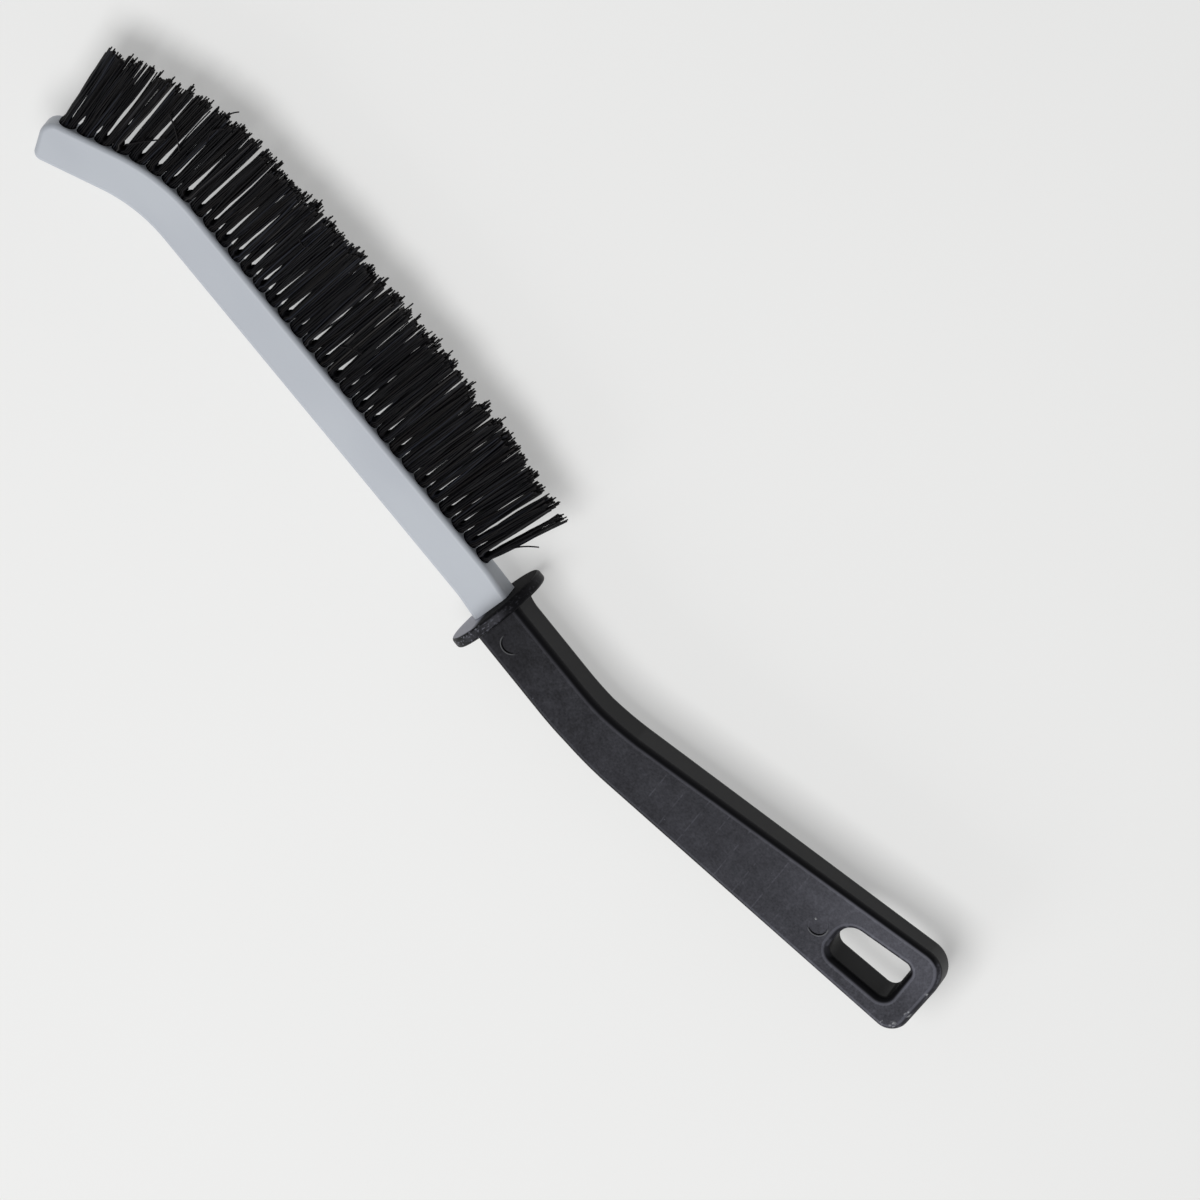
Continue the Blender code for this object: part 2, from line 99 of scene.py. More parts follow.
def place_camera():
    """Stand the camera at the viewing angle of the photograph."""
    slope = Vector((0.0, math.sin(CAMERA_TILT), math.cos(CAMERA_TILT)))
    across = Vector((0.0, math.cos(CAMERA_TILT), -math.sin(CAMERA_TILT)))
    along = Vector((math.cos(CAMERA_TURN), 0.0, 0.0)) + slope * math.sin(CAMERA_TURN)
    towards = slope * math.cos(CAMERA_TURN) - Vector((math.sin(CAMERA_TURN), 0.0, 0.0))
    right = along * math.cos(CAMERA_ROLL) + across * math.sin(CAMERA_ROLL)
    up = across * math.cos(CAMERA_ROLL) - along * math.sin(CAMERA_ROLL)
    aim = MIDDLE + along * FRAME_ALONG + across * FRAME_ACROSS
    camera = add_object("camera", bpy.data.cameras.new("camera"))
    camera.data.sensor_width = SENSOR_WIDTH
    camera.data.lens = SENSOR_WIDTH * CAMERA_DISTANCE / FRAME_WIDTH
    camera.matrix_world = placing(aim + towards * CAMERA_DISTANCE, right, up, towards)
    bpy.context.scene.camera = camera
    return camera


camera = place_camera()
bpy.context.scene.view_settings.view_transform = "Standard"
print("lens in mm:", round(camera.data.lens, 1))

# %% [markdown]
# A node material is easier to read as sums than as a web of nodes. This small class wraps one socket, so
# that a sum writes its Math nodes. Other nodes come from one method, which takes the node's type, its
# settings, and what goes into its sockets.

# %% Shader sums
class Signal:
    """A socket that takes part in sums: each operator adds its Math node."""

    def __init__(self, tree, socket=None):
        self.tree = tree
        self.socket = socket

    def node(self, kind, settings=None, values=None, output=0):
        """Add a node, first its settings and then its sockets."""
        node = self.tree.nodes.new("ShaderNode" + kind)
        for name, setting in (settings or {}).items():
            setattr(node, name, setting)
        for key, value in (values or {}).items():
            put(node.inputs[key], value)
        return Signal(self.tree, node.outputs[output])

    def sum(self, operation, *values):
        """One Math node."""
        return self.node("Math", {"operation": operation}, dict(enumerate(values)))

    def fade(self, start, end):
        """Smooth change from 0 at start to 1 at end."""
        values = {"Value": self, "From Min": start, "From Max": end}
        return self.node("MapRange", {"interpolation_type": "SMOOTHSTEP"}, values)

    def fraction(self):
        """What is left over a whole number."""
        return self.sum("FRACT", self)

    def __add__(self, other):
        return self.sum("ADD", self, other)

    def __radd__(self, other):
        return self.sum("ADD", other, self)

    def __sub__(self, other):
        return self.sum("SUBTRACT", self, other)

    def __rsub__(self, other):
        return self.sum("SUBTRACT", other, self)

    def __mul__(self, other):
        return self.sum("MULTIPLY", self, other)

    def __truediv__(self, other):
        return self.sum("DIVIDE", self, other)

    def __abs__(self):
        return self.sum("ABSOLUTE", self)


def put(socket, value):
    """Link a signal to a socket, or set the socket's own value."""
    if isinstance(value, Signal):
        value.tree.links.new(value.socket, socket)
    else:
        socket.default_value = value


def begin_material(name, constants):
    """A new node material, its shader's sockets and a signal to start from."""
    material = bpy.data.materials.new(name)
    material.use_nodes = True
    shader = material.node_tree.nodes["Principled BSDF"].inputs
    for key, value in constants.items():
        shader[key].default_value = value
    return material, shader, Signal(material.node_tree)


def axes_of(start, output):
    """X, Y and Z of the object's own coordinates, or of its normal."""
    vector = start.node("TexCoord", output=output)
    return [vector.node("SeparateXYZ", None, {0: vector}, output=axis) for axis in "XYZ"]


NOISE_ROUGHNESS = 0.55


def noise(start, size, detail=2.0, stretch=None):
    """Noise from 0 to 1 with bumps of a size in metres, stretched along X, Y and Z."""
    place = start.node("TexCoord", output="Object")
    if stretch:
        place = start.node("VectorMath", {"operation": "DIVIDE"}, {0: place, 1: stretch})
    values = {"Vector": place, "Scale": 1 / size, "Detail": detail, "Roughness": NOISE_ROUGHNESS}
    return start.node("TexNoise", None, values, output="Fac")


def blend_colours(mask, first, second):
    """The first colour where the mask is 0 and the second where it is 1."""
    values = {0: mask, 6: first, 7: second}
    return mask.node("Mix", {"data_type": "RGBA"}, values, output=2)


print("shader sums ready")

# %% [markdown]
# The stage is a plain pale table in soft studio light. A sky picture could light it, but its reflections
# belong to another place. Most light comes from a wide soft box nearly straight above: the rounded edges
# that face it catch a thin bright line. A weak second box lights the slopes on the spine side, and the
# table glows a little by itself, so that its shadows stay pale.

# %% Stage
FLOOR_SIZE = 12.0
FLOOR_GLOW = 0.36
FLOOR_GRAIN = 0.12
TABLE_DARK = (0.47, 0.47, 0.465, 1.0)
TABLE_PALE = (0.49, 0.49, 0.485, 1.0)
WORLD_COLOUR = (0.97, 0.98, 1.0, 1.0)
WORLD_LIGHT = 0.22
KEY_PLACE = Vector((0.05, -0.12, 1.15))
KEY_SIZE = 0.80
KEY_POWER = 10.5
FILL_PLACE = Vector((0.10, -1.0, 0.42))
FILL_SIZE = 0.60
FILL_POWER = 2.6


def pale_table():
    """Pale satin table top with a trace of unevenness."""
    constants = {
        "Roughness": 0.7, "Specular IOR Level": 0.2,
        "Emission Color": (1.0, 1.0, 0.99, 1.0), "Emission Strength": FLOOR_GLOW,
    }
    material, shader, start = begin_material("pale_table", constants)
    cloudy = noise(start, FLOOR_GRAIN)
    put(shader["Base Color"], blend_colours(cloudy, TABLE_DARK, TABLE_PALE))
    return material


def soft_box(name, place, size, power):
    """A square area light that faces the middle of the scene."""
    lamp = bpy.data.lights.new(name, "AREA")
    lamp.shape = "SQUARE"
    lamp.size = size
    lamp.energy = power
    item = add_object(name, lamp)
    item.location = place
    item.rotation_euler = place.to_track_quat("Z", "Y").to_euler()


def link_mesh(name, bm):
    """Turn a bmesh into an object."""
    mesh = bpy.data.meshes.new(name)
    bm.to_mesh(mesh)
    bm.free()
    return add_object(name, mesh)


def lay_table():
    """The table lies where the brush's guard touches it."""
    bm = bmesh.new()
    bmesh.ops.create_grid(bm, x_segments=1, y_segments=1, size=FLOOR_SIZE / 2)
    table = link_mesh("table_top", bm)
    table.location.z = handle_low.z
    table.data.materials.append(pale_table())


def light_world():
    """Even light from all round."""
    world = bpy.data.worlds.new("studio")
    world.use_nodes = True
    background = world.node_tree.nodes["Background"].inputs
    background["Color"].default_value = WORLD_COLOUR
    background["Strength"].default_value = WORLD_LIGHT
    bpy.context.scene.world = world


lay_table()
light_world()
soft_box("key", KEY_PLACE, KEY_SIZE, KEY_POWER)
soft_box("fill", FILL_PLACE, FILL_SIZE, FILL_POWER)
print("stage ready")

# %% [markdown]
# Flat moulded pieces start as an outline of corners, each with the radius that rounds it. A curve could
# round them with Bezier handles, but arcs of a known radius match the solids exactly.

# %% Outlines and flat plates
ARC_STEP = math.radians(5.0)
WELD_DISTANCE = 0.004 * MM
FLAT_ANGLE = math.radians(0.2)
RIM_ANGLE = math.radians(50.0)
CUT_OVERRUN = 1.5 * MM
SEAT_GAP = 0.06 * MM


def heading_of(angle):
    """Flat vector of length 1 at an angle from X."""
    return Vector((math.cos(angle), math.sin(angle)))


def left_of(vector):
    """A flat vector turned a quarter to the left."""
    return Vector((-vector.y, vector.x))


def round_off(corners):
    """Points of a closed outline from corners and the radius that rounds each."""
    outline = []
    for index, (corner, radius) in enumerate(corners):
        if not radius:
            outline.append(corner)
            continue
        before = (corners[index - 1][0] - corner).normalized()
        after = (corners[(index + 1) % len(corners)][0] - corner).normalized()
        half_opening = before.angle(after) / 2
        centre = corner + (before + after).normalized() * radius / math.sin(half_opening)
        first = corner + before * radius / math.tan(half_opening) - centre
        last = corner + after * radius / math.tan(half_opening) - centre
        turn = first.angle_signed(last)
        steps = max(2, math.ceil(abs(turn) / ARC_STEP))
        outline += [centre + Matrix.Rotation(-turn * step / steps, 2) @ first for step in range(steps + 1)]
    return outline


def result_of(item):
    """The mesh that an object's curve or modifiers make."""
    graph = bpy.context.evaluated_depsgraph_get()
    return bpy.data.meshes.new_from_object(item.evaluated_get(graph))


def plate(name, loops, thickness):
    """A flat outline, with any inner outlines as holes, given a thickness."""
    curve = bpy.data.curves.new(name, "CURVE")
    curve.dimensions = "2D"
    curve.fill_mode = "BOTH"
    curve.extrude = thickness / 2
    for loop in loops:
        spline = curve.splines.new("POLY")
        spline.points.add(len(loop) - 1)
        for point, place in zip(spline.points, loop):
            point.co = (place.x, place.y, 0.0, 1.0)
        spline.use_cyclic_u = True
    drawing = add_object(name + "_outline", curve)
    bm = bmesh.new()
    bm.from_mesh(result_of(drawing))
    bpy.data.objects.remove(drawing, do_unlink=True)
    bmesh.ops.remove_doubles(bm, verts=bm.verts, dist=WELD_DISTANCE)
    bmesh.ops.dissolve_limit(bm, angle_limit=FLAT_ANGLE, verts=bm.verts, edges=bm.edges)
    bmesh.ops.recalc_face_normals(bm, faces=bm.faces)
    return link_mesh(name, bm)


def ease(share):
    """Smooth rise from 0 to 1."""
    share = min(max(share, 0.0), 1.0)
    return share * share * (3 - 2 * share)


def spread(share, start, end):
    """Value at a share of the way from a start to an end."""
    return start + (end - start) * share


print("arcs are drawn in steps of", round(math.degrees(ARC_STEP)), "degrees")

# %% [markdown]
# Moulded plastic has no sharp edge, so each plate gets a Bevel, and holes and joined forms are Booleans.
# Drawing every face by hand would give a cleaner mesh but takes far longer to change. The normals are
# weighted by face size, which keeps wide faces flat in the light beside smooth rounds.

# %% Modelling steps
SMOOTH_ANGLE = math.radians(40.0)


def freeze(item):
    """Replace an object's mesh by what its modifiers make."""
    mesh = result_of(item)
    item.modifiers.clear()
    item.data = mesh
    return item


def round_edges(item, width, segments):
    """Round every edge that turns sharply."""
    modifier = item.modifiers.new("edge_round", "BEVEL")
    modifier.width = width
    modifier.segments = segments
    modifier.limit_method = "ANGLE"
    modifier.angle_limit = RIM_ANGLE
    modifier.use_clamp_overlap = False
    modifier.loop_slide = False
    return freeze(item)


def combine(item, operation, other):
    """Join or cut with another mesh, which is then gone."""
    modifier = item.modifiers.new("combine", "BOOLEAN")
    modifier.operation = operation
    modifier.solver = "EXACT"
    modifier.object = other
    freeze(item)
    bpy.data.objects.remove(other, do_unlink=True)
    return item


def add_cylinder(bm, matrix, depth, sides, radius, end_radius):
    """Add an upright closed cylinder, or a cone, to a bmesh."""
    bmesh.ops.create_cone(
        bm, cap_ends=True, segments=sides, radius1=radius, radius2=end_radius, depth=depth, matrix=matrix
    )


def skin_rings(bm, rings):
    """Join a stack of rings of vertices by faces, closed at both ends."""
    for lower, upper in zip(rings, rings[1:]):
        for index in range(len(lower)):
            after = (index + 1) % len(lower)
            bm.faces.new((lower[index], lower[after], upper[after], upper[index]))
    bm.faces.new(rings[0][::-1])
    bm.faces.new(rings[-1])


def loft(name, rings):
    """A mesh from a stack of rings with the same number of points."""
    bm = bmesh.new()
    skin_rings(bm, [[bm.verts.new(point) for point in ring] for ring in rings])
    bmesh.ops.recalc_face_normals(bm, faces=bm.faces)
    return link_mesh(name, bm)


def finish_piece(item, material, slot, *nodes):
    """Move a finished piece into the frame, give it its material, and hide the frame's parts that it stands
    for.
    """
    item.data.transform(Matrix.Translation(MIDDLE))
    item.data.shade_smooth()
    item.data.set_sharp_from_angle(angle=SMOOTH_ANGLE)
    modifier = item.modifiers.new("even_shading", "WEIGHTED_NORMAL")
    modifier.keep_sharp = True
    freeze(item)
    item.data.materials.clear()
    item.data.materials.append(material)
    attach(item, "root")
    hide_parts(*nodes)
    print(item.name, "faces:", len(item.data.polygons))


print("modelling steps ready")

# %% [markdown]
# The head bar is one flat pale moulding. It runs straight from the guard, then bends away from the
# bristles and ends in a short straight tip. Its points could be typed in one by one, but a line along it
# at any offset is a straight, an arc and a straight, so one function gives both edges and the tuft row.

# %% Line of the bar
bar_low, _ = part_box("head_bar")
BAR_WIDTH = 10.5 * MM
BAR_THICKNESS = 7.0 * MM
BAR_STRAIGHT = 117.2 * MM
BAR_BEND_RADIUS = 44.0 * MM
BAR_BEND_ANGLE = math.radians(28.0)
BAR_TIP_RUN = 18.1 * MM
BAR_TIP_SKEW = 1.0 * MM
BAR_BEND_STEPS = 18


def bar_place(run, offset):
    """A point of the bar: run along the line at that offset from the guard."""
    if run <= BAR_STRAIGHT:
        return Vector((-run, offset))
    radius = BAR_BEND_RADIUS + offset
    heading = min((run - BAR_STRAIGHT) / radius, BAR_BEND_ANGLE)
    centre = Vector((-BAR_STRAIGHT, -BAR_BEND_RADIUS))
    backward = heading_of(heading)
    past_bend = max(run - BAR_STRAIGHT - radius * BAR_BEND_ANGLE, 0.0)
    return centre + left_of(backward) * radius - backward * past_bend


def bar_edge(offset, corner):
    """One long edge of the bar, from inside the guard to the tip's corner."""
    bend_length = (BAR_BEND_RADIUS + offset) * BAR_BEND_ANGLE
    runs = [BAR_STRAIGHT + bend_length * step / BAR_BEND_STEPS for step in range(BAR_BEND_STEPS + 1)]
    slant = BAR_TIP_SKEW * max(offset, 0.0) / (BAR_WIDTH / 2)
    start = Vector((CUT_OVERRUN * 2, offset))
    tip = bar_place(BAR_STRAIGHT + bend_length + BAR_TIP_RUN + slant, offset)
    return [(start, 0.0)] + [(bar_place(run, offset), 0.0) for run in runs] + [(tip, corner)]


tip_place = bar_place(BAR_STRAIGHT + BAR_BEND_RADIUS * BAR_BEND_ANGLE + BAR_TIP_RUN, 0.0)
print("bar reaches x =", round((tip_place.x + MIDDLE.x) / MM, 1), "frame says", round(bar_low.x / MM, 1))

# %% [markdown]
# Each tuft sits in a hole drilled into the bar's bristle side. The holes follow from the bar. How far each
# tuft leans and how long it is could be typed in too, but they are read from its solid in the frame,
# whose farthest points say where the tips are.

# %% Where the tufts sit
TUFT_COUNT = 32
FIRST_TUFT_FROM_END = 4.6 * MM
LAST_TUFT_FROM_GUARD = 11.1 * MM
TIP_SHARE = 0.75


def tuft_name(index):
    """Node name of a tuft, counted from the free end."""
    return f"tuft_{index + 1:02d}"


def measure_tufts():
    """Mouth, direction and mean reach of every tuft, and the pitch of the row."""
    offset = BAR_WIDTH / 2
    row_end = BAR_STRAIGHT + (BAR_BEND_RADIUS + offset) * BAR_BEND_ANGLE + BAR_TIP_RUN - FIRST_TUFT_FROM_END
    pitch = (row_end - LAST_TUFT_FROM_GUARD) / (TUFT_COUNT - 1)
    tufts = []
    for index in range(TUFT_COUNT):
        mouth = bar_place(row_end - pitch * index, offset).to_3d()
        spots = [vert.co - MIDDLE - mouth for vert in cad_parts[tuft_name(index)].data.vertices]
        farthest = max(spot.length for spot in spots)
        tips = [spot for spot in spots if spot.length > farthest * TIP_SHARE]
        middle = sum(tips, Vector()) / len(tips)
        middle.z = 0.0
        tufts.append((mouth, middle.normalized(), middle.length))
    return tufts, pitch


tufts, pitch = measure_tufts()
print("pitch in mm:", round(pitch / MM, 3))
print("reaches in mm:", [round(reach / MM, 1) for _, _, reach in tufts])

# %% [markdown]
# The bar could be one extruded outline, but at the guard it thickens and shifts a little, where it runs
# into the tang that the handle is moulded over. So the plate is cut into thin slices there, and they are
# moved. The holes are cut last.

# %% Head bar
BAR_EDGE_ROUND = 1.3 * MM
BAR_ROUND_STEPS = 6
TIP_BRISTLE_CORNER = 3.5 * MM
TIP_SPINE_CORNER = 2.2 * MM
ROOT_FLARE_RUN = 8.0 * MM
ROOT_THICKNESS = 7.9 * MM
ROOT_SHIFT = 0.4 * MM
ROOT_FLARE_STEPS = 16
HANDLE_DROP = 0.8 * MM
TANG_LENGTH = 24.0 * MM
TANG_WIDTH = 7.6 * MM
TANG_THICKNESS = 4.6 * MM
TANG_BURIED_RUN = 4.0 * MM
HOLE_RADIUS = 2.0 * MM
HOLE_MOUTH_RADIUS = 2.28 * MM
HOLE_DEPTH = 7.0 * MM
HOLE_SIDES = 32


def cut_across(bm, station, clear_outer=False):
    """Cut a mesh at a place along X, and return the new edges."""
    everything = bm.verts[:] + bm.edges[:] + bm.faces[:]
    plane = {"plane_co": (station, 0, 0), "plane_no": (1, 0, 0)}
    cut = bmesh.ops.bisect_plane(bm, geom=everything, clear_outer=clear_outer, **plane)
    return [piece for piece in cut["geom_cut"] if isinstance(piece, bmesh.types.BMEdge)]


def flare_root(bar):
    """Cut the bar off square at the guard, and thicken and shift its last run."""
    bm = bmesh.new()
    bm.from_mesh(bar.data)
    seat = -SEAT_GAP
    for step in range(ROOT_FLARE_STEPS):
        cut_across(bm, seat - ROOT_FLARE_RUN * (1 - step / ROOT_FLARE_STEPS))
    rim = cut_across(bm, seat, clear_outer=True)
    bmesh.ops.contextual_create(bm, geom=rim)
    for vert in bm.verts:
        share = ease((vert.co.x - seat + ROOT_FLARE_RUN) / ROOT_FLARE_RUN)
        vert.co.z *= spread(share, 1, ROOT_THICKNESS / BAR_THICKNESS)
        vert.co.y -= ROOT_SHIFT * share
    bmesh.ops.recalc_face_normals(bm, faces=bm.faces)
    bm.to_mesh(bar.data)
    bm.free()


def tuft_hole_cutters():
    """One cylinder for each tuft, along its own direction."""
    bm = bmesh.new()
    for mouth, direction, _ in tufts:
        turn = direction.to_track_quat("Z", "Y").to_matrix().to_4x4()
        place = Matrix.Translation(mouth + direction * (CUT_OVERRUN - HOLE_DEPTH) / 2) @ turn
        add_cylinder(bm, place, HOLE_DEPTH + CUT_OVERRUN, HOLE_SIDES, HOLE_RADIUS, HOLE_MOUTH_RADIUS)
    return link_mesh("tuft_hole_cutters", bm)


def tang_box(name, start, allowance):
    """The tang's form, or with an allowance the socket that it lies in."""
    half = Vector((0.0, TANG_WIDTH / 2 + allowance, TANG_THICKNESS / 2 + allowance))
    low = Vector((start, -HANDLE_DROP, 0.0)) - half
    high = Vector((TANG_LENGTH + allowance, -HANDLE_DROP, 0.0)) + half
    bm = bmesh.new()
    matrix = Matrix.Translation((low + high) / 2) @ Matrix.Diagonal(high - low).to_4x4()
    bmesh.ops.create_cube(bm, size=1.0, matrix=matrix)
    return link_mesh(name, bm)


def head_bar():
    """The flat bar with its bent tip, flared root, tang and tuft holes."""
    spine = bar_edge(-BAR_WIDTH / 2, TIP_SPINE_CORNER)
    bristle = bar_edge(BAR_WIDTH / 2, TIP_BRISTLE_CORNER)
    bar = plate("head_bar_moulding", [round_off(spine + bristle[::-1])], BAR_THICKNESS)
    round_edges(bar, BAR_EDGE_ROUND, BAR_ROUND_STEPS)
    flare_root(bar)
    combine(bar, "UNION", tang_box("tang_form", -TANG_BURIED_RUN, 0.0))
    return combine(bar, "DIFFERENCE", tuft_hole_cutters())


bar = head_bar()
print("head bar points:", len(bar.data.vertices))

# %% [markdown]
# The bar is a pale blue-grey polypropylene, smooth with a soft gloss. One flat colour would look like
# paint, so the colour drifts a little over centimetres, as it does where the plastic flowed, and faint
# scuffs break the gloss.

# %% Pale moulded plastic
BAR_PALE = (0.464, 0.492, 0.534, 1.0)
BAR_DEEP = (0.432, 0.458, 0.502, 1.0)


def pale_plastic():
    """Blue-grey moulded plastic with soft flow marks and faint scuffs."""
    material, shader, start = begin_material("pale_moulded_plastic", {"Specular IOR Level": 0.4})
    flow = noise(start, 14 * MM, detail=1.0, stretch=(2.5, 1.0, 1.0))
    put(shader["Base Color"], blend_colours(flow.fade(0.3, 0.7), BAR_PALE, BAR_DEEP))
    faint_scuffs = noise(start, 1.2 * MM, detail=3.0, stretch=(3.0, 1.0, 1.0)).fade(0.60, 0.75)
    put(shader["Roughness"], 0.40 + faint_scuffs * 0.08)
    grain = noise(start, 0.35 * MM)
    relief = start.node("Bump", None, {"Strength": 0.12, "Distance": 0.02 * MM, "Height": grain}, "Normal")
    put(shader["Normal"], relief)
    return material


finish_piece(bar, pale_plastic(), "bar_plastic", "head_bar")

# %% [markdown]
# The handle is one black moulding: an even neck behind the guard, a gentle bend, and a straight grip that
# widens to the end. A traced outline would be hard to change. Its middle line is a straight, an arc and a
# straight instead, and its width follows from the run along that line.

# %% Line of the handle
NECK_RUN = 26.6 * MM
NECK_ANGLE = math.radians(-0.7)
BEND_RADIUS = 95.0 * MM
REAR_ANGLE = math.radians(12.9)
REAR_RUN = 90.6 * MM
NECK_WIDTH = 13.0 * MM
WIDENING_START = 36.0 * MM
END_WIDTH = 23.1 * MM
BEND_LENGTH = BEND_RADIUS * (REAR_ANGLE - NECK_ANGLE)
HANDLE_LENGTH = NECK_RUN + BEND_LENGTH + REAR_RUN
GUARD_THICKNESS = 2.9 * MM
NECK_START = Vector((0.0, -HANDLE_DROP))
NECK = heading_of(NECK_ANGLE)
REAR = heading_of(REAR_ANGLE)


def handle_axis(run):
    """A point of the handle's middle line, and its heading there."""
    if run <= NECK_RUN:
        return NECK_START + NECK * run, NECK_ANGLE
    centre = NECK_START + NECK * NECK_RUN + left_of(NECK) * BEND_RADIUS
    heading = NECK_ANGLE + min((run - NECK_RUN) / BEND_RADIUS, REAR_ANGLE - NECK_ANGLE)
    forward = heading_of(heading)
    past_bend = max(run - NECK_RUN - BEND_LENGTH, 0.0)
    return centre - left_of(forward) * BEND_RADIUS + forward * past_bend, heading


def half_width(run):
    """Half the handle's width at a run along its middle line."""
    share = max(run - WIDENING_START, 0.0) / (HANDLE_LENGTH - WIDENING_START)
    return spread(share, NECK_WIDTH, END_WIDTH) / 2


def beside_axis(run, offset):
    """A point beside the middle line; a positive offset is on the bristle side."""
    place, heading = handle_axis(run)
    return place + left_of(heading_of(heading)) * offset


REAR_START, _ = handle_axis(NECK_RUN + BEND_LENGTH)


def run_and_offset(point):
    """Run along the middle line and offset from it of any point."""
    from_start = point.xy - NECK_START
    if from_start.dot(NECK) <= NECK_RUN:
        return from_start.dot(NECK), from_start.dot(left_of(NECK))
    from_centre = from_start - NECK * NECK_RUN - left_of(NECK) * BEND_RADIUS
    heading = math.atan2(from_centre.x, -from_centre.y)
    if heading <= REAR_ANGLE:
        return NECK_RUN + (heading - NECK_ANGLE) * BEND_RADIUS, BEND_RADIUS - from_centre.length
    from_rear = point.xy - REAR_START
    return NECK_RUN + BEND_LENGTH + from_rear.dot(REAR), from_rear.dot(left_of(REAR))


end_place = beside_axis(HANDLE_LENGTH, 0.0)
print("handle ends near x =", round((end_place.x + MIDDLE.x) / MM, 1))
print("frame says x =", round(handle_high.x / MM, 1))

# %% [markdown]
# The grip is a plate with the slot as an inner outline, so one Bevel rounds the outer edges and the
# slot's rim together. The slot widens towards the end and each of its corners has its own radius. The
# real grip's narrow sides lean in from the wide face to the far one, more and more towards the end, so
# that it comes out of its mould. A tapered extrusion would lean the slot too, so only the outer points
# are moved, and the two flat faces between them are filled anew.

# %% Grip with the hanging slot
HANDLE_THICKNESS = 11.6 * MM
HANDLE_EDGE_ROUND = 2.0 * MM
HANDLE_ROUND_STEPS = 7
END_SKEW = 0.8 * MM
END_BRISTLE_CORNER = 6.5 * MM
END_SPINE_CORNER = 5.0 * MM
NECK_STEPS = 10
BEND_STEPS = 18
SLOT_FROM_END = 7.7 * MM
SLOT_LENGTH = 18.8 * MM
SLOT_END = HANDLE_LENGTH - SLOT_FROM_END
SLOT_START = SLOT_END - SLOT_LENGTH
SLOT_CORNERS = (
    (SLOT_START, -4.7 * MM, 3.0 * MM),
    (SLOT_END, -5.05 * MM, 2.6 * MM),
    (SLOT_END, 6.55 * MM, 1.8 * MM),
    (SLOT_START, 5.1 * MM, 4.2 * MM),
)
LEAN_AT_NECK = 0.6 * MM
LEAN_AT_END = 2.0 * MM
LEAN_START = 60.0 * MM
STILL_SHARE = 0.25
RIM_REACH = HANDLE_EDGE_ROUND + 0.2 * MM
FLAT_NORMAL = 0.9999


def lean(point):
    """Where a point goes when the outer sides lean in towards the far face."""
    run, offset = run_and_offset(point)
    offsets = [corner_offset for _, corner_offset, _ in SLOT_CORNERS]
    beside_slot = min(offsets) - RIM_REACH < offset < max(offsets) + RIM_REACH
    if beside_slot and SLOT_START - RIM_REACH < run < SLOT_END + RIM_REACH:
        return point
    inner = half_width(run) * STILL_SHARE
    share = min(max((abs(offset) - inner) / (half_width(run) - RIM_REACH - inner), 0.0), 1.0)
    growth = max(run - LEAN_START, 0.0) / (HANDLE_LENGTH - LEAN_START)
    depth = (HANDLE_THICKNESS / 2 - point.z) / (HANDLE_THICKNESS - HANDLE_EDGE_ROUND)
    if offset > 0:
        depth = 1 - depth
    shift = spread(growth, LEAN_AT_NECK, LEAN_AT_END) * depth * share
    _, heading = handle_axis(run)
    return point + left_of(heading_of(heading)).to_3d() * shift


def fill_flat_faces(item):
    """Fill the wide and the far face anew, so that none of it runs across the slot."""
    bm = bmesh.new()
    bm.from_mesh(item.data)
    for facing in (1, -1):
        bm.normal_update()
        flat = [face for face in bm.faces if face.normal.z * facing > FLAT_NORMAL]
        bmesh.ops.delete(bm, geom=flat, context="FACES_ONLY")
        loose = [edge for edge in bm.edges if not edge.link_faces]
        bmesh.ops.delete(bm, geom=loose, context="EDGES")
        rim = [edge for edge in bm.edges if len(edge.link_faces) == 1]
        bmesh.ops.triangle_fill(bm, use_beauty=True, edges=rim, normal=(0, 0, facing))
    bmesh.ops.recalc_face_normals(bm, faces=bm.faces)
    open_edges = sum(len(edge.link_faces) != 2 for edge in bm.edges)
    print("open edges of the grip:", open_edges)
    bm.to_mesh(item.data)
    bm.free()


def grip():
    """The flat grip, rounded along every edge."""
    runs = [GUARD_THICKNESS / 2] + [NECK_RUN * (step + 1) / NECK_STEPS for step in range(NECK_STEPS)]
    runs += [NECK_RUN + BEND_LENGTH * (step + 1) / BEND_STEPS for step in range(BEND_STEPS)]
    spine = [(beside_axis(run, -half_width(run)), 0.0) for run in runs]
    bristle = [(beside_axis(run, half_width(run)), 0.0) for run in runs]
    spine.append((beside_axis(HANDLE_LENGTH - END_SKEW, -END_WIDTH / 2), END_SPINE_CORNER))
    bristle.append((beside_axis(HANDLE_LENGTH, END_WIDTH / 2), END_BRISTLE_CORNER))
    slot = round_off([(beside_axis(run, offset), radius) for run, offset, radius in SLOT_CORNERS])
    item = plate("handle_moulding", [round_off(spine + bristle[::-1]), slot], HANDLE_THICKNESS)
    round_edges(item, HANDLE_EDGE_ROUND, HANDLE_ROUND_STEPS)
    for vert in item.data.vertices:
        vert.co = lean(vert.co)
    fill_flat_faces(item)
    return item


handle = grip()
print("grip points:", len(handle.data.vertices))

# %% [markdown]
# The guard is a nearly round disc in one piece with the grip. It could be a plain cylinder, but its rim is
# rounded, and on the neck's bristle side a long hollow round leads into it, which grows towards the far
# face. That round is a loft: the neck's own section, swollen by a quarter oval as it nears the disc.

# %% Guard and neck
GUARD_EDGE_ROUND = 0.8 * MM
GUARD_ROUND_STEPS = 6
GUARD_SIDES = 96
NECK_FILLET_RUN = 5.5 * MM
NECK_FILLET_RISE = 1.7 * MM
NECK_FILLET_STEPS = 10
FILLET_SINK = 0.04 * MM


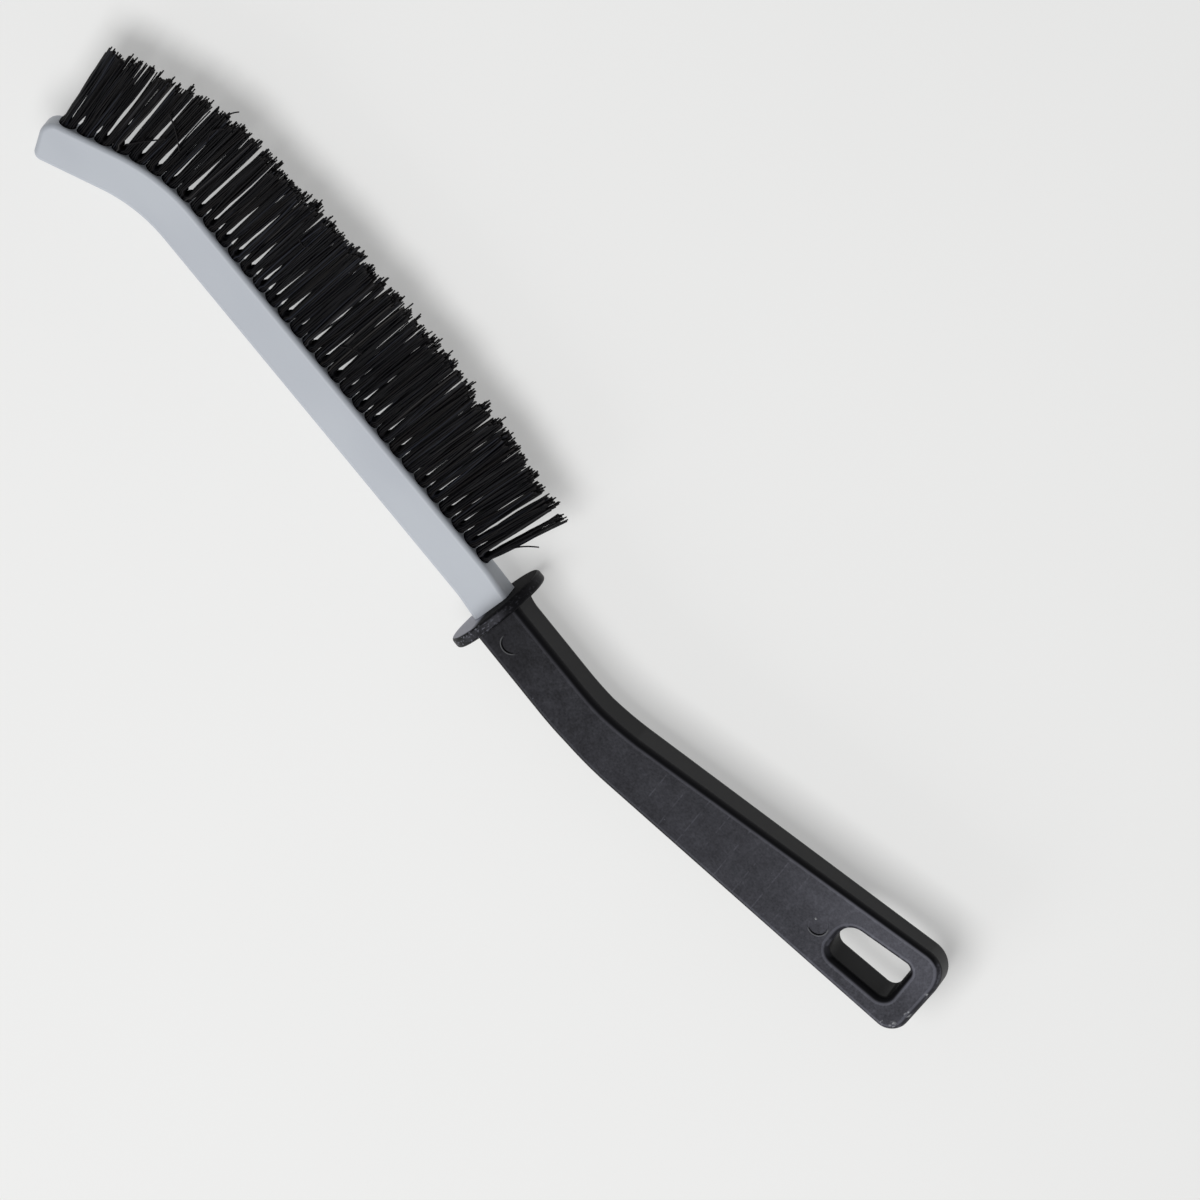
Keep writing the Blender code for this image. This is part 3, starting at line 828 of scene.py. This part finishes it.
def guard_disc():
    """The disc, wider across the bristles than through the thickness."""
    bm = bmesh.new()
    stretch = Matrix.Diagonal((GUARD_WIDTH / GUARD_HEIGHT, 1.0, 1.0, 1.0))
    turn = Matrix.Rotation(math.radians(90.0), 4, "Y")
    middle = Matrix.Translation((GUARD_THICKNESS / 2, -GUARD_DROP, 0.0))
    radius = GUARD_HEIGHT / 2
    add_cylinder(bm, middle @ turn @ stretch, GUARD_THICKNESS, GUARD_SIDES, radius, radius)
    return round_edges(link_mesh("guard_disc", bm), GUARD_EDGE_ROUND, GUARD_ROUND_STEPS)


def neck_ring(run, swell):
    """Section of the neck, a little sunk, and swollen on the far half of its bristle side."""
    middle, _ = handle_axis(run)
    half_y = half_width(run) - FILLET_SINK
    half_z = HANDLE_THICKNESS / 2 - FILLET_SINK
    corners = ((-half_y, -half_z), (half_y, -half_z), (half_y, half_z), (-half_y, half_z))
    section = []
    for across, height in round_off([(Vector(corner), HANDLE_EDGE_ROUND) for corner in corners]):
        far_share = (half_z - height) / (2 * half_z)
        bristle_share = max(across, 0.0) / half_y
        across += swell * far_share * bristle_share
        section.append(lean(Vector((middle.x, middle.y + across, height))))
    return section


def neck_fillet():
    """The hollow round between guard and neck."""
    rings = [neck_ring(GUARD_THICKNESS / 2, NECK_FILLET_RISE)]
    for step in range(NECK_FILLET_STEPS + 1):
        angle = math.radians(90.0) * step / NECK_FILLET_STEPS
        swell = NECK_FILLET_RISE * (1 - math.sin(angle))
        rings.append(neck_ring(GUARD_THICKNESS + NECK_FILLET_RUN * (1 - math.cos(angle)), swell))
    return loft("neck_fillet", rings)


combine(handle, "UNION", guard_disc())
combine(handle, "UNION", neck_fillet())
combine(handle, "DIFFERENCE", tang_box("tang_socket", -CUT_OVERRUN, SEAT_GAP))
print("handle points:", len(handle.data.vertices))

# %% [markdown]
# Two round marks in the wide face are left by the pins that push the moulding out. A pin that stands
# askew bites a thin crescent and pushes up a fine lip beside it. A bump could show both, but not in the
# mesh, so each is a tapered tube bent round part of a circle: one is cut away and the other is added.
# The rear mark also has a tiny nub.

# %% Pin marks
PIN_MARK_RADIUS = 2.3 * MM
PIN_GROOVE_WIDTH = 0.44 * MM
PIN_GROOVE_DEPTH = 0.55 * MM
PIN_GROOVE_SPAN = math.radians(75.0)
PIN_LIP_WIDTH = 0.30 * MM
PIN_LIP_HEIGHT = 0.13 * MM
PIN_LIP_SPAN = math.radians(110.0)
PIN_LIP_RADIUS = PIN_MARK_RADIUS + (PIN_GROOVE_WIDTH + PIN_LIP_WIDTH) / 2
PIN_ARC_STEPS = 24
PIN_ARC_SIDES = 8
PIN_ARC_END = 0.15
PIN_ARC_SWELL = 0.6
PIN_NUB_RADIUS = 0.26 * MM
REAR_MARK_RUN = SLOT_START - 5.0 * MM
# Pin marks: run along the handle, and the way the crescent faces
PIN_MARKS = ((GUARD_THICKNESS + 6.4 * MM, math.radians(-98.0)), (REAR_MARK_RUN, math.radians(-40.0)))


def on_wide_face(run, offset=0.0):
    """A point on the wide face, beside the middle line."""
    return beside_axis(run, offset).to_3d() + Vector((0.0, 0.0, HANDLE_THICKNESS / 2))


PIN_NUB_PLACE = on_wide_face(REAR_MARK_RUN) + Vector((-1.6 * MM, 0.75 * MM, 0.0))


def mark_arc(name, centre, facing, radius, half_across, half_height, span):
    """A tube bent round part of a pin mark's circle, thickest in its middle."""
    rings = []
    for step in range(PIN_ARC_STEPS + 1):
        turn = facing + span * (2 * step / PIN_ARC_STEPS - 1)
        swell = math.sin(math.pi * step / PIN_ARC_STEPS) ** PIN_ARC_SWELL
        taper = spread(swell, PIN_ARC_END, 1)
        out = heading_of(turn).to_3d()
        up = Vector((0.0, 0.0, half_height * taper))
        angles = [math.tau * (side + 0.5) / PIN_ARC_SIDES for side in range(PIN_ARC_SIDES)]
        rings.append([
            centre + out * (radius + half_across * taper * math.cos(angle)) + up * math.sin(angle)
            for angle in angles
        ])
    return loft(name, rings)


def pin_nub():
    """The small nub beside the rear mark's middle."""
    bm = bmesh.new()
    middle = Matrix.Translation(PIN_NUB_PLACE)
    bmesh.ops.create_icosphere(bm, subdivisions=3, radius=PIN_NUB_RADIUS, matrix=middle)
    return link_mesh("pin_nub", bm)


# The tubes of a mark: what it does, name, radius, half its width, height or depth, and half its span
PIN_ARCS = (
    ("DIFFERENCE", "pin_groove", PIN_MARK_RADIUS, PIN_GROOVE_WIDTH / 2, PIN_GROOVE_DEPTH, PIN_GROOVE_SPAN),
    ("UNION", "pin_lip", PIN_LIP_RADIUS, PIN_LIP_WIDTH / 2, PIN_LIP_HEIGHT, PIN_LIP_SPAN),
)
for run, facing in PIN_MARKS:
    for operation, name, *sizes in PIN_ARCS:
        combine(handle, operation, mark_arc(name, on_wide_face(run), facing, *sizes))
combine(handle, "UNION", pin_nub())
print("handle points with its marks:", len(handle.data.vertices))

# %% [markdown]
# The black plastic isn't even. The wide face has a mottled grain, cloudy patches, pale specks and faint
# lines where the mould was milled: straight ones across the grip and curved ones. The end of the grip is
# scuffed white, and the guard's rim is scraped on the spine side. Light is painted in as well: a sheen
# that makes the wide faces paler towards the end and darker near the guard, highlights on the edges, the
# pin marks' lips and the nub, light on the slopes that face the spine side and the end, and a pale
# reflection on the guard's tip side. One noise for all would look like dirt, so each mark has its own
# function.

# %% Marks in the black plastic
LINE_PITCH = 5.9 * MM
LINE_WIDTH = 0.24 * MM
LINES_START = 2 * MM
LINES_END = 54 * MM
LINES_FADE = 6 * MM
SWIRL_PITCH = 1.35 * MM
SWIRL_CENTRE = MIDDLE + beside_axis(70.0 * MM, -34.0 * MM).to_3d()
SCUFF_DEPTH = 0.4 * MM
# Scuffs in millimetres: run along the handle, offset from its middle line, and size
SCUFFS = ((137.2, -8.2, 1.5), (138.0, -3.4, 1.2), (138.5, 3.5, 0.9), (134.6, -9.4, 1.0))


def specks(start, spacing, size, share):
    """Small round dots, one in some of the cells of a cell texture."""
    place = start.node("TexCoord", output="Object")
    values = {"Vector": place, "Scale": 1 / spacing}
    near, picked = (start.node("TexVoronoi", None, values, output=name) for name in ("Distance", "Color"))
    chosen = picked.node("SeparateXYZ", None, {0: picked}, output="X")
    return near.fade(size / spacing, size / spacing * 0.4) * chosen.fade(1 - share, 1 - share * 0.8)


def distance(start, point):
    """Distance of the surface from a point."""
    place = start.node("TexCoord", output="Object")
    return start.node("VectorMath", {"operation": "DISTANCE"}, {0: place, 1: point}, "Value")


def milled_lines(start, along, wide):
    """Straight lines across the grip, broken up, and faint curved ones round one centre."""
    broken = noise(start, 2.5 * MM, detail=2.0).fade(0.42, 0.60)
    to_line = abs((along / LINE_PITCH).fraction() - 0.5) * LINE_PITCH
    reach = along.fade(LINES_START, LINES_START + LINES_FADE) * along.fade(LINES_END, LINES_END - LINES_FADE)
    straight = to_line.fade(LINE_WIDTH, LINE_WIDTH * 0.3) * broken * reach
    swirl = (distance(start, SWIRL_CENTRE) / SWIRL_PITCH).fraction()
    patches = noise(start, 7 * MM, detail=3.0).fade(0.48, 0.66)
    curved = abs(swirl - 0.5).fade(0.16, 0.04) * patches * broken
    return (straight + curved * 0.45) * wide


def scuffs(start):
    """White scrapes at the end of the grip."""
    torn = noise(start, 0.7 * MM, detail=4.0, stretch=(1.0, 2.0, 1.0)).fade(0.50, 0.62)
    total = 0.0
    depth = Vector((0.0, 0.0, SCUFF_DEPTH))
    for run, offset, size in SCUFFS:
        spot = MIDDLE + on_wide_face(run * MM, offset * MM) - depth
        total = distance(start, spot).fade(size * MM, size * MM * 0.3) + total
    return total * torn


def guard_marks(start, x, y, normal_x):
    """The guard's scraped rim, a painted reflection on the spine half of its tip side, and its whole tip
    side.
    """
    on_guard = x.fade(MIDDLE.x + GUARD_THICKNESS + 0.1 * MM, MIDDLE.x + GUARD_THICKNESS - 0.1 * MM)
    to_spine = MIDDLE.y - y
    scraped = noise(start, 0.8 * MM, detail=4.0, stretch=(0.7, 1.4, 1.0)).fade(0.52, 0.66)
    more_on_spine = to_spine.fade(-7 * MM, 7 * MM) * 0.85 + 0.15
    rim = on_guard * (1 - abs(normal_x).fade(0.5, 0.9)) * scraped * more_on_spine
    tip_side = normal_x.fade(-0.85, -0.97)
    # A painted reflection: the spine half of the tip side is painted pale, and made smoother
    painted_reflection = tip_side * to_spine.fade(1 * MM, 4 * MM)
    return rim, painted_reflection, tip_side


def painted_lip_highlights(start, x, y):
    """A painted highlight along each pin mark's lip."""
    total = 0.0
    for run, facing in PIN_MARKS:
        centre = MIDDLE + on_wide_face(run)
        ring = abs(distance(start, centre) - PIN_LIP_RADIUS).fade(0.20 * MM, 0.08 * MM)
        ahead = (x - centre.x) * math.cos(facing) + (y - centre.y) * math.sin(facing)
        total = ring * ahead.fade(0.1 * MM, 1.6 * MM) + total
    return total


print("scuffs at the end of the grip:", len(SCUFFS))

# %% [markdown]
# The marks come together in one shader. It could be painted as a picture, but a picture fits one shape
# only, while these sums follow the grip when its sizes change. Level is how pale the plastic is.

# %% Black moulded plastic
BLACK_TINT = (0.95, 0.96, 1.14, 1.0)
# White of the scrapes, also used for the painted highlights on the pin marks' lips and nub
WHITE_SCUFF_AND_HIGHLIGHT = (0.75, 0.76, 0.78, 1.0)


def turned(x, y):
    """X and Y turned so that they run along the rear grip and across it."""
    return x * REAR.x + y * REAR.y, y * REAR.x - x * REAR.y


def black_plastic():
    """Black polypropylene with grain, flow clouds, milling lines and scuffs, and painted sheen, highlights,
    slope light and reflections.
    """
    constants = {"Specular IOR Level": 0.10, "Specular Tint": (0.95, 0.94, 1.0, 1.0)}
    material, shader, start = begin_material("black_moulded_plastic", constants)
    x, y, _ = axes_of(start, "Object")
    normal_x, normal_y, normal_z = axes_of(start, "Normal")
    along, across = turned(x - (REAR_START.x + MIDDLE.x), y - (REAR_START.y + MIDDLE.y))
    to_end, to_bristles = turned(normal_x, normal_y)
    wide = abs(normal_z).fade(0.90, 0.985)
    top_slope = abs(normal_z).fade(0.80, 0.93)

    clouds = noise(start, 6 * MM, detail=4.0).fade(0.30, 0.72)
    near_end = along.fade(32 * MM, 76 * MM)
    rear = along.fade(-45 * MM, 50 * MM)
    paler_strip = near_end * across.fade(-3 * MM, 7 * MM)
    pits = noise(start, 1.3 * MM, detail=3.0, stretch=(1.0, 1.8, 1.0)).fade(0.48, 0.70)
    # Painted light on the slopes that face the spine side and the end of the grip, broken up by the pits
    painted_light_on_slopes = (to_end.fade(0.15, 0.6) + to_bristles.fade(-0.15, -0.6)) * along.fade(20 * MM, 70 * MM)
    painted_light_on_slopes = painted_light_on_slopes * normal_z.fade(0.15, 0.45) * (0.6 + pits * 1.4)
    # A painted highlight where the wide faces start to round over into the sides
    painted_edge_highlight = normal_z.fade(0.88, 0.94) * normal_z.fade(0.998, 0.98)
    grain = noise(start, 0.55 * MM, detail=5.0)
    lines = milled_lines(start, along, wide)
    dots = specks(start, 3.2 * MM, 0.22 * MM, 0.35) * wide
    rim, painted_reflection, tip_side = guard_marks(start, x, y, normal_x)
    nub = distance(start, MIDDLE + PIN_NUB_PLACE).fade(PIN_NUB_RADIUS * 1.3, PIN_NUB_RADIUS * 0.8)
    scraped = scuffs(start)

    past_guard = x.fade(MIDDLE.x + 8 * MM, MIDDLE.x + 24 * MM)
    # Each term adds one mark's paleness, where 0 is black and 1 is white; several terms are painted light
    # Painted sheen: the wide faces are painted paler than the narrow sides, darker near the guard, and paler
    # towards the end and its bristle edge, where the grain and pits show more; the patches, grain and pits
    # themselves are the plastic's own
    level = 0.004 + top_slope * (0.003 + clouds * 0.010 + past_guard * 0.006)
    level += top_slope * (rear * 0.016 + near_end * 0.010 + paler_strip * 0.028)
    level += wide * (grain - 0.5) * (0.028 + past_guard * 0.018 + near_end * 0.024)
    level += wide * pits * (past_guard * 0.005 + near_end * 0.010)
    # The painted highlight along the rounds, and painted light on the slopes that face the spine side and
    # the end
    level += painted_edge_highlight * (0.013 + rear * 0.014 + near_end * 0.014) + painted_light_on_slopes * 0.04
    # Milling lines, specks and the scraped rim are the plastic's own; the pale patch on the guard's tip side
    # is a painted reflection, and the whole tip side is painted a little darker, a painted reflection of the
    # dark bar and bristles
    level += lines * 0.022 + dots * 0.06 + rim * 0.13 + painted_reflection * 0.30 - tip_side * 0.0018
    level = level.sum("MAXIMUM", level, 0.002)
    plastic = blend_colours(level, (0.0, 0.0, 0.0, 1.0), BLACK_TINT)
    # The white scrapes are the plastic's own wear; the pale nub is a painted glint and the pale lips are
    # painted highlights
    white = (scraped + nub) * 0.5 + painted_lip_highlights(start, x, y) * 0.12
    put(shader["Base Color"], blend_colours(white, plastic, WHITE_SCUFF_AND_HIGHLIGHT))
    rough = 0.46 + wide * 0.06 - pits * wide * 0.08 + rim * 0.3 + tip_side * 0.36 - painted_reflection * 0.4
    put(shader["Roughness"], rough)
    height = grain * wide + pits * wide * 0.6 + lines * 0.7 + dots * 0.6 + rim * 1.2 + scraped
    values = {"Strength": 0.45, "Distance": 0.06 * MM, "Height": height}
    put(shader["Normal"], start.node("Bump", None, values, "Normal"))
    return material


finish_piece(handle, black_plastic(), "handle_plastic", "handle")

# %% [markdown]
# A tuft is a bundle of nylon filaments, folded in the middle and pinned into its hole, so two halves
# stand in each hole. They leave the mouth as one round bundle and part a little above it. A particle
# system could grow hairs, but it gives no mesh that exports, so every filament is its own thin tapered
# tube. How wide each gap is at its start and at the tips is listed.

# %% Filament paths
FILAMENTS_PER_HALF = 32
GOLDEN_SHARE = 0.618
FILAMENT_RADIUS = 0.215 * MM
FILAMENT_TIP_RADIUS = 0.18 * MM
FILAMENT_SIDES = 6
FREE_STEPS = 4
ROOT_DEPTH = 1.6 * MM
COLLAR_HEIGHT = 0.85 * MM
KNEE_HEIGHT = 1.7 * MM
MEET_HEIGHT = 4.8 * MM
ROOT_HALF = 1.70 * MM
MOUTH_HALF = 2.08 * MM
MOUTH_GAP = 0.10 * MM
TIP_OUTER_SHARE = 1.22
FREE_FLANK = (0.70, 0.76, 1.05)
GUARD_FLANK = (0.74, 0.90, 1.18)
LAST_SLIT_SHIFT = 1.0 * MM
ACROSS_AT_KNEE = 2.20 * MM
ACROSS_AT_TIP = 2.35 * MM
TIP_SHORTFALL = 0.8 * MM
LENGTH_SPREAD = 0.48 * MM
LOCK_SPREAD = 0.9 * MM
LOCKS_PER_HALF = 4
LOCK_PULL = 0.38
LONG_SHARE = 0.04
LONG_EXTRA = (0.6 * MM, 1.4 * MM)
TIP_WANDER = 0.28 * MM
BOW = 0.22 * MM

# One row per tuft from the free end, in millimetres: the gap in its middle where it starts and at the
# tips, below 0 where the halves cross, and the gap that starts between it and the next tuft.
GAPS = (
    (0.15, -0.30, 0.60), (-0.10, -1.00, 0.45), (0.50, 0.40, -0.10), (1.10, 0.10, -0.10),
    (0.65, 0.80, -0.10), (0.85, 0.80, -0.10), (0.35, 0.20, -0.10), (1.10, -0.50, -0.10),
    (0.60, 1.20, 0.15), (0.55, -0.10, 0.25), (0.80, -0.50, 0.40), (0.80, -1.00, 0.25),
    (1.00, -0.90, 0.30), (0.70, -0.80, 0.45), (0.50, -0.50, 0.35), (0.90, -1.60, -0.10),
    (0.35, -1.40, -0.10), (0.80, -0.60, -0.05), (0.50, -0.70, -0.05), (0.95, -1.00, -0.10),
    (0.40, -1.60, 0.00), (0.60, -1.20, 0.15), (0.75, -1.30, -0.15), (0.50, -1.20, -0.10),
    (0.50, -1.20, 0.00), (0.00, -0.80, -0.10), (0.55, -1.50, 0.05), (0.50, -0.90, 0.00),
    (0.60, -0.90, 0.05), (0.60, -0.80, 0.00), (0.50, 0.30, 0.00), (0.70, 0.90, 0.00),
)


def half_edges(index, side):
    """Inner and outer edge of a half tuft where it parts, meets the next, and ends."""
    half_pitch = pitch / 2
    start_gap, tip_gap, beside = (gap * MM for gap in GAPS[index])
    if side < 0:
        beside = GAPS[index - 1][2] * MM
    knee_inner = start_gap / 2 + FILAMENT_RADIUS
    tip_inner = tip_gap / 2 + FILAMENT_RADIUS
    if index == TUFT_COUNT - 1:
        tip_inner -= side * LAST_SLIT_SHIFT
    meet_inner = knee_inner + (tip_inner - knee_inner) * MEET_HEIGHT / tufts[index][2]
    knee_outer = half_pitch - beside / 2 - FILAMENT_RADIUS
    outers = (knee_outer, half_pitch, TIP_OUTER_SHARE * half_pitch)
    if index == 0 and side < 0:
        outers = [share * half_pitch for share in FREE_FLANK]
    if index == TUFT_COUNT - 1 and side > 0:
        outers = [share * half_pitch for share in GUARD_FLANK]
    return list(zip((knee_inner, meet_inner, tip_inner), outers))


def half_tuft(index, side, reach, chance):
    """Stations and bow of each filament in one half, in the tuft's own axes.

    X runs along the row, Y across it and Z out of the hole. The stations lie in the hole, at its mouth,
    just above it, where the halves part, where neighbours meet, and at the tip.
    """
    knee, meet, tip = half_edges(index, side)
    collar_outer = (MOUTH_HALF + knee[1]) / 2
    locks = [
        (chance.random(), chance.uniform(-1, 1), chance.uniform(-LOCK_SPREAD, LOCK_SPREAD))
        for _ in range(LOCKS_PER_HALF)
    ]
    paths = []
    for number in range(FILAMENTS_PER_HALF):
        turn = math.pi * (number * GOLDEN_SHARE % 1.0)
        radius = math.sqrt((number + 0.5) / FILAMENTS_PER_HALF)
        along = radius * math.sin(turn)
        across = radius * math.cos(turn)
        lock = min(locks, key=lambda spot: abs(spot[0] - along) + abs(spot[1] - across) / 2)
        tip_along = spread(LOCK_PULL, along, lock[0])
        tip_across = spread(LOCK_PULL, across, lock[1])
        wander = Vector((chance.gauss(0, 1), chance.gauss(0, 1), 0)) * TIP_WANDER
        length = reach - TIP_SHORTFALL + lock[2] + chance.gauss(0, 1) * LENGTH_SPREAD
        if chance.random() < LONG_SHARE:
            length += chance.uniform(*LONG_EXTRA)
        places = (
            (along * ROOT_HALF, across * ROOT_HALF, -ROOT_DEPTH),
            (spread(along, MOUTH_GAP, MOUTH_HALF), across * MOUTH_HALF, 0.0),
            (spread(along, MOUTH_GAP, collar_outer), across * ACROSS_AT_KNEE, COLLAR_HEIGHT),
            (spread(along, *knee), across * ACROSS_AT_KNEE, KNEE_HEIGHT),
            (spread(along, *meet), across * ACROSS_AT_KNEE, MEET_HEIGHT),
            (spread(tip_along, *tip), tip_across * ACROSS_AT_TIP, length),
        )
        stations = [Vector((side * x, y, z)) for x, y, z in places]
        stations[-1] += wander
        bow = Vector((chance.gauss(0, 1), chance.gauss(0, 1), 0)) * BOW
        paths.append((stations, bow))
    return paths


def filament_points(stations, bow):
    """Points through a filament's stations, with a slight bow in its free run."""
    *lower, meet, tip = stations
    points = [lower[0]]
    for start, end in zip(lower, lower[1:] + [meet]):
        points += [start.lerp(end, 0.5), end]
    for step in range(1, FREE_STEPS + 1):
        share = step / FREE_STEPS
        points.append(meet.lerp(tip, share) + bow * math.sin(math.pi * share))
    return points


print("filaments in a tuft:", FILAMENTS_PER_HALF * 2)

# %% [markdown]
# Each filament is skinned with rings. Two numbers go with every point for the material: the filament's
# own shade, because no two catch the light alike, and how far along it the point lies. A few strays lie
# across the row. They could be random, but a handful placed one by one looks more like a used brush.

# %% Filament meshes
TUFT_SEED = 11
STRAY_SHADE = 0.8
STRAY_STEPS = 10
STRAY_HEIGHT = 2.4 * MM
STRAY_RISE = 1.3
# Stray filaments on top of the row, in millimetres: where each starts and ends, and how far it bulges
STRAYS = (
    (-140.4, 2.9, -135.9, 12.4, 0.2), (-140.4, 17.1, -131.7, 13.1, 0.4), (-129.5, 20.0, -129.7, 26.1, 1.3),
    (-131.8, 28.6, -130.9, 32.1, 0.2), (-88.3, 31.6, -88.1, 33.8, 0.1), (-96.5, 27.8, -97.8, 33.8, 0.3),
    (-98.1, 22.6, -94.9, 23.8, -0.9), (-71.5, 12.7, -67.2, 16.2, 0.5), (-8.7, 13.8, -5.2, 19.9, 0.3),
)


def stray_points(start_x, start_y, end_x, end_y, bulge):
    """Points of a stray filament, which lies across the others and rises a little."""
    start = Vector((start_x * MM, start_y * MM, STRAY_HEIGHT))
    end = Vector((end_x * MM, end_y * MM, STRAY_HEIGHT * STRAY_RISE))
    sideways = left_of(end - start).to_3d().normalized() * bulge * MM
    shares = [step / STRAY_STEPS for step in range(STRAY_STEPS + 1)]
    return [start.lerp(end, share) + sideways * math.sin(math.pi * share) for share in shares]


def nearest_tuft(point):
    """The tuft whose middle line passes closest to a point."""
    return min(range(TUFT_COUNT), key=lambda index: tufts[index][1].cross(point - tufts[index][0]).length)


def skin_filament(bm, layers, points, shade):
    """Add one tapered tube with closed ends along points in the brush's axes."""
    shade_layer, along_layer = layers
    rings = []
    lengths = [0.0]
    for point, after in zip(points, points[1:]):
        lengths.append(lengths[-1] + (after - point).length)
    for step, point in enumerate(points):
        ahead = points[min(step + 1, len(points) - 1)] - points[max(step - 1, 0)]
        turn = ahead.to_track_quat("Z", "Y")
        share = lengths[step] / lengths[-1]
        radius = spread(share, FILAMENT_RADIUS, FILAMENT_TIP_RADIUS)
        ring = []
        for side in range(FILAMENT_SIDES):
            angle = math.tau * side / FILAMENT_SIDES
            out = turn @ heading_of(angle).to_3d()
            vert = bm.verts.new(point + out * radius)
            vert[shade_layer] = shade
            vert[along_layer] = share
            ring.append(vert)
        rings.append(ring)
    skin_rings(bm, rings)


def tuft_axes(mouth, direction):
    """Matrix from a tuft's axes to the brush's: Z out of the hole, X towards the guard."""
    across = Vector((0.0, 0.0, 1.0))
    return placing(mouth, direction.cross(across), across, direction)


def tuft(index, chance):
    """All filaments of one tuft in one piece."""
    mouth, direction, reach = tufts[index]
    bm = bmesh.new()
    layers = (bm.verts.layers.float.new("shade"), bm.verts.layers.float.new("along"))
    to_brush = tuft_axes(mouth, direction)
    for side in (-1, 1):
        for path in half_tuft(index, side, reach, chance):
            points = [to_brush @ point for point in filament_points(*path)]
            skin_filament(bm, layers, points, chance.random())
    for row in STRAYS:
        points = stray_points(*row)
        if nearest_tuft(points[0]) == index:
            skin_filament(bm, layers, points, STRAY_SHADE)
    return link_mesh(tuft_name(index) + "_filaments", bm)


chance = random.Random(TUFT_SEED)
bundles = [tuft(index, chance) for index in range(TUFT_COUNT)]
print("points in the row:", sum(len(item.data.vertices) for item in bundles))

# %% [markdown]
# Drawn nylon is nearly black with a satin sheen. One black for all would make the row a flat shape, so a
# ramp gives some filaments a bluish and some a brownish shade, and the cut tips are a little paler.

# %% Black nylon
# Places along the ramp from 0 to 1, and the colour at each
NYLON_SHADES = (
    (0.0, (0.001, 0.001, 0.002)),
    (0.50, (0.002, 0.002, 0.003)),
    (0.78, (0.006, 0.005, 0.005)),
    (0.92, (0.015, 0.017, 0.024)),
    (1.0, (0.030, 0.028, 0.027)),
)
NYLON_TIP = (0.030, 0.028, 0.028, 1.0)


def black_nylon():
    """Satin black filament whose shade differs from one to the next."""
    material, shader, start = begin_material("black_nylon", {"Specular IOR Level": 0.08})
    shade = start.node("Attribute", {"attribute_name": "shade"}, output="Fac")
    along = start.node("Attribute", {"attribute_name": "along"}, output="Fac")
    body = shade.node("ValToRGB", None, {0: shade}, output="Color")
    stops = body.socket.node.color_ramp.elements
    for _ in range(len(NYLON_SHADES) - len(stops)):
        stops.new(1.0)
    for stop, (place, colour) in zip(stops, NYLON_SHADES):
        stop.position = place
        stop.color = (*colour, 1.0)
    tip = along.fade(0.95, 1.0) * 0.3
    put(shader["Base Color"], blend_colours(tip, body, NYLON_TIP))
    put(shader["Roughness"], 0.34 + shade * 0.14)
    return material


nylon = black_nylon()
for index, item in enumerate(bundles):
    finish_piece(item, nylon, "bristle", tuft_name(index))
